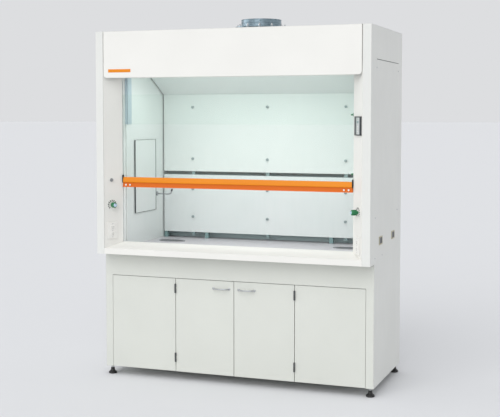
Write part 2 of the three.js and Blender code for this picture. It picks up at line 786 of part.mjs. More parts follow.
// Bay partition with the fixed halves of the hinges: leaves through the door gap, knuckles and pins.
function partition() {
  const depth = [PARTITION_FRONT, DEPTH - SHEET - GAP];
  const height = [FLOOR_TOP + GAP, WORKTOP_TOP - WORKTOP_THICK - GAP];
  const wall = block([BAY_LINE - 1, BAY_LINE + 1], depth, height);
  const pieces = [wall];
  for (const centre of HINGE.z) {
    const [low, , high] = knuckles(centre);
    for (const [from, to] of [low, high]) {
      pieces.push(block([BAY_LINE - 0.8, BAY_LINE + 0.8], [HINGE.y, PARTITION_FRONT + 1], [from, to]));
      pieces.push(alongZ(disc(BAY_LINE, HINGE.y, HINGE.barrel), from, to, 8));
    }
    pieces.push(alongZ(disc(BAY_LINE, HINGE.y, HINGE.pin), low[0] + 1, high[1] - 1, 8));
  }
  return joined(...pieces);
}

// Hinged door: folded pan with the moving knuckle of each hinge on its outer edge.
function door() {
  const depth = [CABINET_FRONT, CABINET_FRONT + DOOR_DEPTH];
  const skin = pan([DOOR_GAP, BAY_LINE - DOOR_GAP], depth, [DOOR_BOTTOM, DOOR_TOP]);
  const pieces = [skin];
  const bores = [];
  for (const centre of HINGE.z) {
    const [, [from, to]] = knuckles(centre);
    pieces.push(alongZ(disc(BAY_LINE, HINGE.y, HINGE.barrel), from, to, 8));
    pieces.push(block([BAY_LINE - 7, BAY_LINE - 3.2], [HINGE.y, CABINET_FRONT + 1], [from, to]));
    bores.push(alongZ(disc(BAY_LINE, HINGE.y, HINGE.bore), from - 1, to + 1, 8));
  }
  return cut(joined(...pieces), ...bores);
}

function fixedPanel() {
  const across = [BAY_LINE + DOOR_GAP, COLUMN_INNER - DOOR_GAP];
  return pan(across, [CABINET_FRONT, CABINET_FRONT + DOOR_DEPTH], [DOOR_BOTTOM, DOOR_TOP]);
}

// Bow handle standing off the door face.
function doorHandle() {
  const face = CABINET_FRONT - GAP;
  const spread = 8;
  const bow = new THREE.CubicBezierCurve3(
    new THREE.Vector3(HANDLE.inner, face, HANDLE.z),
    new THREE.Vector3(HANDLE.inner + spread, face - HANDLE.reach, HANDLE.z),
    new THREE.Vector3(HANDLE.outer - spread, face - HANDLE.reach, HANDLE.z),
    new THREE.Vector3(HANDLE.outer, face, HANDLE.z),
  );
  const feet = [HANDLE.inner, HANDLE.outer].map((x) =>
    alongY(disc(x, HANDLE.z, HANDLE.radius + 1), face - 4, face, 8),
  );
  const behindFace = block([0, BAY_LINE], [face, face + 20], [HANDLE.z - 20, HANDLE.z + 20]);
  return cut(joined(bar(bow, HANDLE.radius, 10, 16), ...feet), behindFace);
}

// Levelling foot: pad, neck, lock nut and threaded stem up to the cabinet floor.
function levellingFoot(y) {
  const profile = [
    [0, 0],
    [FOOT.radius - 1, 0],
    [FOOT.radius, 4],
    [FOOT.radius, 12],
    [14, 24],
    [12, 38],
    [9, 38],
    [9, 46],
    [5, 46],
    [5, FLOOR_TOP - SHEET - GAP],
    [0, FLOOR_TOP - SHEET - GAP],
  ];
  return turned(profile, 24).translate(FOOT.x, y, 0);
}

add("cabinet_face_frame", faceFrame(), "cabinetSteel");
add("cabinet_floor", cabinetFloor(), "cabinetSteel");
addPair("partition", partition(), "cabinetSteel");
addPair("door", door(), "cabinetSteel");
addPair("fixed_panel", fixedPanel(), "cabinetSteel");
addPair("door_handle", doorHandle(), "steel");
addPair("foot_front", levellingFoot(FOOT.y[0]), "blackPlastic");
addPair("foot_rear", levellingFoot(FOOT.y[1]), "blackPlastic");

export default hood;
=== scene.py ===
"""Looks of a laboratory fume hood: finishes, small fittings, studio light and camera."""

from __future__ import annotations

import json
import logging
import math
from collections.abc import Callable, Iterable
from dataclasses import dataclass, field
from enum import Enum
from typing import Protocol

import bmesh
import bpy
from mathutils import Matrix, Vector

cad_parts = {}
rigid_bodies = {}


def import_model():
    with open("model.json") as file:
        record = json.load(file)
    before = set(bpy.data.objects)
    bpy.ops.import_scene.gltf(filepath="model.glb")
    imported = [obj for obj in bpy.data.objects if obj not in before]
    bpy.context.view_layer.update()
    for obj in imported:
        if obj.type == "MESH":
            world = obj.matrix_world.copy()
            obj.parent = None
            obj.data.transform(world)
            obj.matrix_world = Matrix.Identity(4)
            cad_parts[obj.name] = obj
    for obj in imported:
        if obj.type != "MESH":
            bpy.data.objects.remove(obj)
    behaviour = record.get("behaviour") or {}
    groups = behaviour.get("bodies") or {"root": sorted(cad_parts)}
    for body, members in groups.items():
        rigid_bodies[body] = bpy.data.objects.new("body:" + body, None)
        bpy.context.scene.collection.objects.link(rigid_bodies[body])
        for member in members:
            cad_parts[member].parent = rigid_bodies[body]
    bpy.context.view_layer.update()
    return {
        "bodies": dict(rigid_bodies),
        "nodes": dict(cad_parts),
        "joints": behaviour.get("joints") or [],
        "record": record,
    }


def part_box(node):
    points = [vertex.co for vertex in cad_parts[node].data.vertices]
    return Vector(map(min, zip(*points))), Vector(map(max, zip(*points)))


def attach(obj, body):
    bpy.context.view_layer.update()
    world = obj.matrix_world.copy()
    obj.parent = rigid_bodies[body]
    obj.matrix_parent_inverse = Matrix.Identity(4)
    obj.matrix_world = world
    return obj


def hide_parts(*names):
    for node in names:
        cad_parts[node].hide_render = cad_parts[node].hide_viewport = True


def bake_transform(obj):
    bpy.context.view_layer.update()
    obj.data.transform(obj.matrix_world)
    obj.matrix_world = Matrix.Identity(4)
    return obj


MM = 0.001
log = logging.getLogger("fume_hood")

# Material slots that the record names, filled once the frame is loaded.
SLOTS: set[str] = set()


def linear(hex_colour: str) -> tuple[float, float, float, float]:
    """Turn an sRGB hex colour into the linear colour that a shader reads.

    Args:
        hex_colour: Six hex digits, with or without a leading hash sign.

    Returns:
        Red, green, blue and a full alpha.
    """
    digits = hex_colour.lstrip("#")
    channels = [int(digits[i : i + 2], 16) / 255 for i in (0, 2, 4)]
    red, green, blue = [c / 12.92 if c <= 0.04045 else ((c + 0.055) / 1.055) ** 2.4 for c in channels]
    return red, green, blue, 1.0


class Side(Enum):
    """The two hands of the hood, seen from the front."""

    LEFT = -1
    RIGHT = 1

    @property
    def word(self) -> str:
        """Name ending of the pieces on this side."""
        return self.name.lower()


# ---------------------------------------------------------------- finishes


class FinishGraph:
    """Node tree of one material, with every pattern size given in millimetres."""

    def __init__(self, name: str) -> None:
        """Start a material with one Principled shader.

        Args:
            name: What the real material is.
        """
        self.material = bpy.data.materials.new(name)
        self.material.use_nodes = True
        self.tree = self.material.node_tree
        self.tree.nodes.clear()
        self.output = self.tree.nodes.new("ShaderNodeOutputMaterial")
        self.shader = self.tree.nodes.new("ShaderNodeBsdfPrincipled")
        self.place = self.tree.nodes.new("ShaderNodeTexCoord").outputs["Object"]
        self.link(self.shader.outputs["BSDF"], self.output.inputs["Surface"])

    def link(self, source: bpy.types.NodeSocket, target: bpy.types.NodeSocket) -> None:
        """Join two sockets."""
        self.tree.links.new(source, target)

    def fix(self, **values: float | tuple[float, float, float, float]) -> None:
        """Set constants on the shader's own sockets.

        Args:
            values: Socket names, with underscores for spaces, and their values.
        """
        for name, value in values.items():
            self.shader.inputs[name.replace("_", " ")].default_value = value

    def feed(self, socket: str, source: bpy.types.NodeSocket) -> None:
        """Drive one of the shader's sockets from a pattern."""
        self.link(source, self.shader.inputs[socket])

    def scaled(
        self,
        size: float,
        stretch: tuple[float, float, float] = (1, 1, 1),
    ) -> bpy.types.NodeSocket:
        """Object coordinates scaled so that one unit is a pattern's size.

        Args:
            size: Size of the pattern in millimetres.
            stretch: How many times longer the pattern is along X, Y and Z.

        Returns:
            The scaled coordinate.
        """
        mapping = self.tree.nodes.new("ShaderNodeMapping")
        mapping.inputs["Scale"].default_value = [1 / (size * MM * s) for s in stretch]
        self.link(self.place, mapping.inputs["Vector"])
        return mapping.outputs["Vector"]

    def noise(
        self,
        size: float,
        detail: float = 2.0,
        stretch: tuple[float, float, float] = (1, 1, 1),
    ) -> bpy.types.NodeSocket:
        """Soft irregular mottling.

        Args:
            size: Size of a patch in millimetres.
            detail: Number of finer layers.
            stretch: How many times longer a patch is along X, Y and Z.

        Returns:
            A value about one half.
        """
        texture = self.tree.nodes.new("ShaderNodeTexNoise")
        texture.inputs["Scale"].default_value = 1.0
        texture.inputs["Detail"].default_value = detail
        self.link(self.scaled(size, stretch), texture.inputs["Vector"])
        return texture.outputs["Fac"]

    def cells(self, size: float, output: str = "Distance") -> bpy.types.NodeSocket:
        """Pattern of small cells, such as specks or zinc crystals.

        Args:
            size: Size of a cell in millimetres.
            output: Which of the pattern's outputs to use.

        Returns:
            Distance from a cell's middle, or the cell's own random colour.
        """
        texture = self.tree.nodes.new("ShaderNodeTexVoronoi")
        texture.inputs["Scale"].default_value = 1.0
        self.link(self.scaled(size), texture.inputs["Vector"])
        return texture.outputs[output]

    def axis(self, letter: str) -> bpy.types.NodeSocket:
        """One coordinate of the surface, in metres."""
        split = self.tree.nodes.new("ShaderNodeSeparateXYZ")
        self.link(self.place, split.inputs["Vector"])
        return split.outputs[letter]

    def spread(
        self,
        source: bpy.types.NodeSocket,
        old: tuple[float, float],
        new: tuple[float, float],
    ) -> bpy.types.NodeSocket:
        """Map one span of values onto another, clamped.

        Args:
            source: Value to map.
            old: The span it comes in.
            new: The span it leaves in.

        Returns:
            The mapped value.
        """
        span = self.tree.nodes.new("ShaderNodeMapRange")
        span.inputs["From Min"].default_value, span.inputs["From Max"].default_value = old
        span.inputs["To Min"].default_value, span.inputs["To Max"].default_value = new
        self.link(source, span.inputs["Value"])
        return span.outputs["Result"]

    def blend(
        self,
        factor: bpy.types.NodeSocket,
        first: str | bpy.types.NodeSocket,
        second: str | bpy.types.NodeSocket,
    ) -> bpy.types.NodeSocket:
        """Mix two colours.

        Args:
            factor: Share of the second colour.
            first: Hex colour or colour socket.
            second: Hex colour or colour socket.

        Returns:
            The mixed colour.
        """
        mix = self.tree.nodes.new("ShaderNodeMix")
        mix.data_type = "RGBA"
        self.link(factor, mix.inputs["Factor"])
        for socket, colour in ((mix.inputs[6], first), (mix.inputs[7], second)):
            if isinstance(colour, str):
                socket.default_value = linear(colour)
            else:
                self.link(colour, socket)
        return mix.outputs[2]

    def relief(self, height: bpy.types.NodeSocket, depth: float, strength: float = 1.0) -> None:
        """Raise and lower the surface slightly.

        Args:
            height: Pattern of heights from 0 to 1.
            depth: Height of the relief in millimetres.
            strength: Share of the relief that shows.
        """
        bump = self.tree.nodes.new("ShaderNodeBump")
        bump.inputs["Distance"].default_value = depth * MM
        bump.inputs["Strength"].default_value = strength
        self.link(height, bump.inputs["Height"])
        self.feed("Normal", bump.outputs["Normal"])


@dataclass(frozen=True)
class PowderCoat:
    """Oven-cured powder coat on sheet steel: fine orange peel and faint handling marks."""

    name: str
    colour: str
    shade: str
    roughness: float = 0.42
    peel: float = 1.4
    dust_height: float = 0.0
    inner_colour: str = ""
    inner_face: float = 0.0
    inner_floor: float = 0.0

    def make(self) -> bpy.types.Material:
        """Build the material."""
        graph = FinishGraph(self.name)
        # Uneven film thickness over some 400 mm of panel.
        cloud = graph.spread(graph.noise(420, 3), (0.3, 0.7), (0.0, 0.45))
        colour = graph.blend(cloud, self.colour, self.shade)
        # Orange peel, a little over 2 mm from dimple to dimple.
        fine = graph.spread(graph.noise(2.2, 1), (0.35, 0.65), (0.0, 0.1))
        colour = graph.blend(fine, colour, self.shade)
        # Greyer towards the floor, up to the given height.
        if self.dust_height:
            low = graph.spread(graph.axis("Z"), (0.0, self.dust_height), (0.3, 0.0))
            colour = graph.blend(low, colour, self.shade)
        if self.inner_colour:
            above = graph.spread(graph.axis("Z"), (self.inner_floor, self.inner_floor + 1 * MM), (0, 1))
            inner = graph.blend(above, colour, self.inner_colour)
            edge = (self.inner_face - 0.4 * MM, self.inner_face)
            colour = graph.blend(graph.spread(graph.axis("Y"), edge, (1, 0)), colour, inner)
        graph.feed("Base Color", colour)
        # Wiping marks run upwards and are some 60 mm across.
        gloss = (self.roughness - 0.05, self.roughness + 0.06)
        graph.feed("Roughness", graph.spread(graph.noise(60, 4, (1, 1, 3)), (0.3, 0.7), gloss))
        graph.relief(graph.noise(self.peel, 1), 0.03, 0.35)
        graph.fix(Specular_IOR_Level=0.45)
        return graph.material


@dataclass(frozen=True)
class LinerSheet:
    """Pale rigid plastic sheet with a soft sheen and faint wiped streaks."""

    name: str
    colour: str
    shade: str
    foot_colour: str = ""
    foot_top: float = 0.0

    def make(self) -> bpy.types.Material:
        """Build the material."""
        graph = FinishGraph(self.name)
        # Slow change of tone across a calendered sheet.
        cloud = graph.spread(graph.noise(520, 2), (0.3, 0.7), (0.0, 0.6))
        colour = graph.blend(cloud, self.colour, self.shade)
        # Streaks 26 mm wide, left by wiping up and down.
        wiped = graph.spread(graph.noise(26, 3, (1, 1, 9)), (0.45, 0.75), (0.0, 0.3))
        colour = graph.blend(wiped, colour, self.shade)
        # Painted shade: grey-green below the given height, for legs that stand in shade.
        if self.foot_colour:
            edge = (self.foot_top - 1 * MM, self.foot_top)
            colour = graph.blend(graph.spread(graph.axis("Z"), edge, (1, 0)), colour, self.foot_colour)
        graph.feed("Base Color", colour)
        graph.feed("Roughness", graph.spread(graph.noise(90, 4), (0.3, 0.7), (0.34, 0.42)))
        graph.relief(graph.noise(3.0, 2), 0.02, 0.25)
        graph.fix(Specular_IOR_Level=0.35)
        return graph.material


@dataclass(frozen=True)
class SpeckledTop:
    """Chemical-resistant board with a fine speckle in two tones."""

    name: str
    colour: str
    pale: str
    dark: str

    def make(self) -> bpy.types.Material:
        """Build the material."""
        graph = FinishGraph(self.name)
        cloud = graph.spread(graph.noise(260, 3), (0.35, 0.65), (0, 0.4))
        colour = graph.blend(cloud, self.colour, self.pale)
        # Real chips are about 1 mm; they are drawn at 3 to 5 mm so that they show.
        dark = graph.spread(graph.cells(3.1), (0.12, 0.26), (0.5, 0.0))
        colour = graph.blend(dark, colour, self.dark)
        pale = graph.spread(graph.cells(4.7), (0.1, 0.22), (0.55, 0.0))
        graph.feed("Base Color", graph.blend(pale, colour, self.pale))
        graph.feed("Roughness", graph.spread(graph.noise(14, 3), (0.3, 0.7), (0.3, 0.42)))
        graph.relief(graph.noise(1.1, 2), 0.02, 0.3)
        return graph.material


@dataclass(frozen=True)
class ClearPane:
    """Thin tempered glass: clear head on, glossy at a glancing angle, faintly green."""

    name: str
    tint: str
    gloss: str

    def make(self) -> bpy.types.Material:
        """Build the material."""
        graph = FinishGraph(self.name)
        clear = graph.tree.nodes.new("ShaderNodeBsdfTransparent")
        clear.inputs["Color"].default_value = linear(self.tint)
        fresnel = graph.tree.nodes.new("ShaderNodeFresnel")
        fresnel.inputs["IOR"].default_value = 1.5
        mix = graph.tree.nodes.new("ShaderNodeMixShader")
        graph.feed("Base Color", graph.blend(graph.noise(300, 2), self.gloss, self.tint))
        graph.feed("Roughness", graph.spread(graph.noise(45, 3), (0.3, 0.7), (0.02, 0.05)))
        graph.link(graph.spread(fresnel.outputs["Fac"], (0, 1), (0.0, 0.65)), mix.inputs["Fac"])
        graph.link(clear.outputs["BSDF"], mix.inputs[1])
        graph.link(graph.shader.outputs["BSDF"], mix.inputs[2])
        graph.link(mix.outputs["Shader"], graph.output.inputs["Surface"])
        return graph.material


@dataclass(frozen=True)
class CoatedExtrusion:
    """Colour-coated aluminium extrusion with faint die lines along its length."""

    name: str
    colour: str
    shade: str
    roughness: float = 0.34
    metallic: float = 0.0
    lower_colour: str = ""
    lower_top: float = 0.0

    def make(self) -> bpy.types.Material:
        """Build the material."""
        graph = FinishGraph(self.name)
        # Die lines lie a few tenths of a millimetre apart and are drawn at 1.6 mm so that they show.
        lines = graph.noise(1.6, 2, (600, 1, 1))
        cloud = graph.spread(graph.noise(180, 2, (3, 1, 1)), (0.3, 0.7), (0.0, 0.35))
        colour = graph.blend(cloud, self.colour, self.shade)
        colour = graph.blend(graph.spread(lines, (0.4, 0.7), (0, 0.25)), colour, self.shade)
        # Painted shade: the lower strip, recessed under the bead, gets a darker colour.
        if self.lower_colour:
            edge = (self.lower_top - 0.5 * MM, self.lower_top + 0.5 * MM)
            colour = graph.blend(graph.spread(graph.axis("Z"), edge, (1, 0)), colour, self.lower_colour)
        graph.feed("Base Color", colour)
        gloss = (self.roughness - 0.06, self.roughness + 0.08)
        graph.feed("Roughness", graph.spread(lines, (0.3, 0.7), gloss))
        graph.relief(lines, 0.02, 0.4)
        graph.fix(Metallic=self.metallic, Specular_IOR_Level=0.28)
        return graph.material


@dataclass(frozen=True)
class Moulding:
    """Moulded plastic or rubber with a fine spark-eroded grain."""

    name: str
    colour: str
    shade: str
    roughness: float = 0.4
    grain: float = 0.6

    def make(self) -> bpy.types.Material:
        """Build the material."""
        graph = FinishGraph(self.name)
        # Flow marks in the moulding, some 30 mm across, over a fine eroded grain.
        cloud = graph.spread(graph.noise(30, 3), (0.3, 0.7), (0.0, 0.5))
        graph.feed("Base Color", graph.blend(cloud, self.colour, self.shade))
        gloss = (self.roughness - 0.05, self.roughness + 0.07)
        graph.feed("Roughness", graph.spread(graph.noise(8, 2), (0.3, 0.7), gloss))
        graph.relief(graph.noise(self.grain, 1), 0.02, 0.35)
        return graph.material


@dataclass(frozen=True)
class BrushedMetal:
    """Bare metal with fine directional brushing."""

    name: str
    colour: str
    shade: str
    roughness: float = 0.34
    stretch: tuple[float, float, float] = (30.0, 30.0, 1.0)

    def make(self) -> bpy.types.Material:
        """Build the material."""
        graph = FinishGraph(self.name)
        # Belt grit leaves strokes about 0.1 mm wide; they are drawn at 0.5 mm so that they show.
        strokes = graph.noise(0.5, 2, self.stretch)
        cloud = graph.spread(graph.noise(55, 3), (0.3, 0.7), (0.0, 0.4))
        colour = graph.blend(cloud, self.colour, self.shade)
        worn = graph.spread(strokes, (0.4, 0.8), (0, 0.3))
        graph.feed("Base Color", graph.blend(worn, colour, self.shade))
        gloss = (self.roughness - 0.08, self.roughness + 0.08)
        graph.feed("Roughness", graph.spread(strokes, (0.3, 0.7), gloss))
        graph.relief(strokes, 0.008, 0.4)
        graph.fix(Metallic=1.0)
        return graph.material


@dataclass(frozen=True)
class Spangle:
    """Hot-dip zinc with its flat crystals, each a slightly different grey."""

    name: str
    colour: str
    shade: str
    crystal: float = 14.0

    def make(self) -> bpy.types.Material:
        """Build the material."""
        graph = FinishGraph(self.name)
        # Each zinc crystal holds one tone and one gloss.
        crystals = graph.tree.nodes.new("ShaderNodeSeparateColor")
        graph.link(graph.cells(self.crystal, "Color"), crystals.inputs["Color"])
        tone = graph.spread(crystals.outputs["Red"], (0, 1), (0, 0.75))
        graph.feed("Base Color", graph.blend(tone, self.colour, self.shade))
        graph.feed("Roughness", graph.spread(crystals.outputs["Green"], (0, 1), (0.26, 0.4)))
        graph.relief(graph.noise(5, 2), 0.05, 0.3)
        graph.fix(Metallic=1.0)
        return graph.material


@dataclass(frozen=True)
class RoughCasting:
    """Painted grey iron casting with a sandy skin."""

    name: str
    colour: str
    shade: str

    def make(self) -> bpy.types.Material:
        """Build the material."""
        graph = FinishGraph(self.name)
        sand = graph.spread(graph.noise(7, 4), (0.3, 0.7), (0, 1))
        graph.feed("Base Color", graph.blend(sand, self.colour, self.shade))
        graph.feed("Roughness", graph.spread(graph.noise(3, 2), (0.3, 0.7), (0.6, 0.8)))
        graph.relief(graph.noise(1.8, 3), 0.25, 0.6)
        graph.fix(Metallic=0.3)
        return graph.material


@dataclass(frozen=True)
class WireRope:
    """Stranded steel cable: bright wires, with painted shade in the lays between them."""

    name: str
    colour: str
    shade: str
    lay: float = 5.0

    def make(self) -> bpy.types.Material:
        """Build the material."""
        graph = FinishGraph(self.name)
        wave = graph.tree.nodes.new("ShaderNodeTexWave")
        wave.bands_direction = "DIAGONAL"
        wave.inputs["Scale"].default_value = 0.6
        graph.link(graph.scaled(self.lay), wave.inputs["Vector"])
        # Painted shade: the wave's low bands darken the lays between the wires.
        graph.feed("Base Color", graph.blend(wave.outputs["Fac"], self.shade, self.colour))
        graph.feed("Roughness", graph.spread(wave.outputs["Fac"], (0, 1), (0.5, 0.3)))
        graph.relief(wave.outputs["Fac"], 0.2, 0.6)
        graph.fix(Metallic=1.0)
        return graph.material


@dataclass(frozen=True)
class PlainFloor:
    """Seamless studio floor."""

    name: str
    colour: str
    shade: str

    def make(self) -> bpy.types.Material:
        """Build the material."""
        graph = FinishGraph(self.name)
        cloud = graph.spread(graph.noise(900, 2), (0.3, 0.7), (0, 0.12))
        graph.feed("Base Color", graph.blend(cloud, self.colour, self.shade))
        graph.fix(Roughness=0.9, Specular_IOR_Level=0.1)
        return graph.material


class Coat(Enum):
    """Every finish on the hood; those that the record names carry its slot name."""

    WHITE_STEEL = "white_enamel_steel"
    CASING_STEEL = "casing_enamel_steel"
    CABINET_STEEL = "cabinet_enamel_steel"
    LINER = "chamber_liner_pvc"
    WORKTOP = "worktop_board"
    CUP = "cup_plastic"
    GLASS = "sash_glass"
    ORANGE = "orange_coated_aluminium"
    BLACK_NYLON = "black_nylon"
    ANODISED = "anodised_aluminium"
    GUIDE = "guide_plastic"
    STEEL = "hardware_steel"
    ZINC = "galvanised_steel"
    IRON = "counterweight_iron"
    GREEN = "green_knob_plastic"
    SLOT_FRAME = "frame_plastic"
    DEVICE_GREY = "grey_device_plastic"
    DEVICE_WHITE = "white_device_plastic"
    BLACK_FOOT = "black_foot_plastic"
    GASKET = "gasket_rubber"
    DARK_STEEL = "hinge_steel"
    PALE_CAP = "valve_cap_plastic"
    BEIGE = "grommet_plastic"
    DARK_PLASTIC = "dark_device_plastic"
    LINED_STEEL = "lined_casing_steel"
    FOOTED_LINER = "footed_liner_pvc"
    STUD_CAP = "stud_cap_plastic"
    BUTTON = "switch_button_plastic"
    CABLE = "cable_steel"
    WHITE_SCREW = "white_screw_steel"
    LAMP = "lamp_diffuser"
    FLOOR = "studio_floor"


class Finish(Protocol):
    """Anything that can make a material."""

    def make(self) -> bpy.types.Material:
        """Build the material."""


# Each entry's common name, its colours and, where they differ, its gloss.
RECIPES: dict[Coat, Finish] = {
    # Warm white satin, even and slightly dimpled.
    Coat.WHITE_STEEL: PowderCoat("White powder-coated steel", "EBEAE5", "E2E1DC"),
    # The same satin made darker and cooler: painted shade for the casing's sides and columns.
    Coat.CASING_STEEL: PowderCoat("White powder-coated casing steel", "E1E2DE", "D8D9D5"),
    # The casing's darker white with painted shade outside, grey-green behind the chamber.
    Coat.LINED_STEEL: PowderCoat(
        "White steel with a grey-green inner coat",
        "E1E2DE",
        "D8D9D5",
        inner_colour="CBDEDE",
        inner_face=0.4245,
        inner_floor=0.83,
    ),
    # Off-white, partly the cabinet's own duller white and partly painted shade for its lower light under
    # the sill; a touch greyer towards the floor.
    Coat.CABINET_STEEL: PowderCoat("Off-white powder-coated steel", "D7D9D2", "CDCFC8", dust_height=0.3),
    # Faint green, low sheen, wiped.
    Coat.LINER: LinerSheet("Pale green rigid PVC sheet", "EEF3F1", "E6EDEB"),
    # Cool grey board that reads as plain from afar.
    Coat.WORKTOP: SpeckledTop("Speckled phenolic board", "CFCCD1", "DEDCE0", "B5B2B8"),
    # Grey and waxy.
    Coat.CUP: Moulding("Grey polypropylene", "8E9194", "84878A", 0.36),
    # All but invisible head on, bright at a glancing angle.
    Coat.GLASS: ClearPane("Clear tempered glass", "FDFFFE", "F5F9F7"),
    # Strong orange, with painted shade on the lower strip, recessed under the bead.
    Coat.ORANGE: CoatedExtrusion(
        "Orange-coated aluminium", "E98C14", "DF7F12", lower_colour="DA6C1C", lower_top=1.268
    ),
    # Matt black with a soft edge light.
    Coat.BLACK_NYLON: Moulding("Black nylon", "141414", "1E1E1E", 0.45),
    # Pale blue-grey, silky along its length.
    Coat.ANODISED: CoatedExtrusion("Anodised aluminium", "C9DAE3", "BACCD6", 0.36, 0.1),
    # Clean white, dull.
    Coat.GUIDE: Moulding("White extruded plastic", "F2F5F3", "E9EDEB", 0.4),
    # Bright grey with a stretched highlight.
    Coat.STEEL: BrushedMetal("Brushed stainless steel", "C6C8CA", "A6A9AC"),
    # Blue-grey patches that catch the light one by one.
    Coat.ZINC: Spangle("Galvanised steel", "93A5AF", "74868F"),
    # Dark, sandy and dull.
    Coat.IRON: RoughCasting("Painted cast iron", "4A4C4F", "3A3C3F"),
    # Saturated green with a crisp highlight.
    Coat.GREEN: Moulding("Green moulded plastic", "1E7A4A", "17663D", 0.32),
    # Light grey, dull.
    Coat.DEVICE_GREY: Moulding("Grey device plastic", "C4C8C7", "BABEBD", 0.45),
    # Ivory white, a little glossier than the jamb round it.
    Coat.DEVICE_WHITE: Moulding("White device plastic", "ECEBE6", "E3E2DD", 0.35),
    # Black with a soft highlight on the dome.
    Coat.BLACK_FOOT: Moulding("Black foot plastic", "131313", "1C1C1C", 0.38),
    # Nearly black, no shine.
    Coat.GASKET: Moulding("Dark gasket rubber", "263232", "202B2B", 0.6),
    # Dark grey with a thin highlight.
    Coat.DARK_STEEL: BrushedMetal("Dark hinge steel", "6A6C6D", "515354", 0.4),
    # Icy blue and glossy.
    Coat.PALE_CAP: Moulding("Pale blue cap plastic", "C5D8EE", "B4CAE4", 0.28),
    # Dull beige.
    Coat.BEIGE: Moulding("Beige grommet plastic", "BDB69C", "B1AA90", 0.45),
    # Charcoal with a soft highlight.
    Coat.DARK_PLASTIC: Moulding("Dark grey device plastic", "3B3F41", "33373A", 0.35),
    # Grey-green, dull; its darkness is painted shade for the half shade behind the slots.
    Coat.SLOT_FRAME: Moulding("Grey-green frame plastic", "8FA5A5", "83999A", 0.45),
    # The liner, with painted shade in grey-green on its legs behind the lower baffle.
    Coat.FOOTED_LINER: LinerSheet(
        "Pale green PVC sheet on grey-green legs",
        "EBF1F0",
        "E3ECEA",
        foot_colour="86A3A3",
        foot_top=0.8879,
    ),
    # Grey dots on the pale wall.
    Coat.STUD_CAP: Moulding("Grey stud cap plastic", "A0AEAF", "93A1A2", 0.42),
    # Mid grey, dull.
    Coat.BUTTON: Moulding("Grey button plastic", "8E9192", "828586", 0.4),
    # Bright wires, with painted shade in the lays between them.
    Coat.CABLE: WireRope("Stranded steel cable", "A8ABAD", "5A5D60"),
    # Bright white dots.
    Coat.WHITE_SCREW: Moulding("White-capped screw", "F4F4F0", "E9E9E5", 0.3),
    # Milky white.
    Coat.LAMP: Moulding("Opal lamp diffuser", "F4F6F4", "ECEFED", 0.5),
    # Even, pale and without shine.
    Coat.FLOOR: PlainFloor("Pale studio floor", "DFE0E2", "DDDEE1"),
}


class Paintshop:
    """Makes each finish once and hands it out."""

    _made: dict[Coat, bpy.types.Material] = {}

    @classmethod
    def material(cls, coat: Coat) -> bpy.types.Material:
        """Material for a finish, made the first time it is asked for."""
        if coat not in cls._made:
            cls._made[coat] = RECIPES[coat].make()
        return cls._made[coat]

    @classmethod
    def dress(cls, piece: bpy.types.Object, coat: Coat) -> None:
        """Give a piece one finish all over.

        Args:
            piece: The piece.
            coat: Its finish.
        """
        if not piece.material_slots:
            piece.data.materials.append(None)
        for slot in piece.material_slots:
            slot.material = cls.material(coat)


# ---------------------------------------------------------------- modelling tools


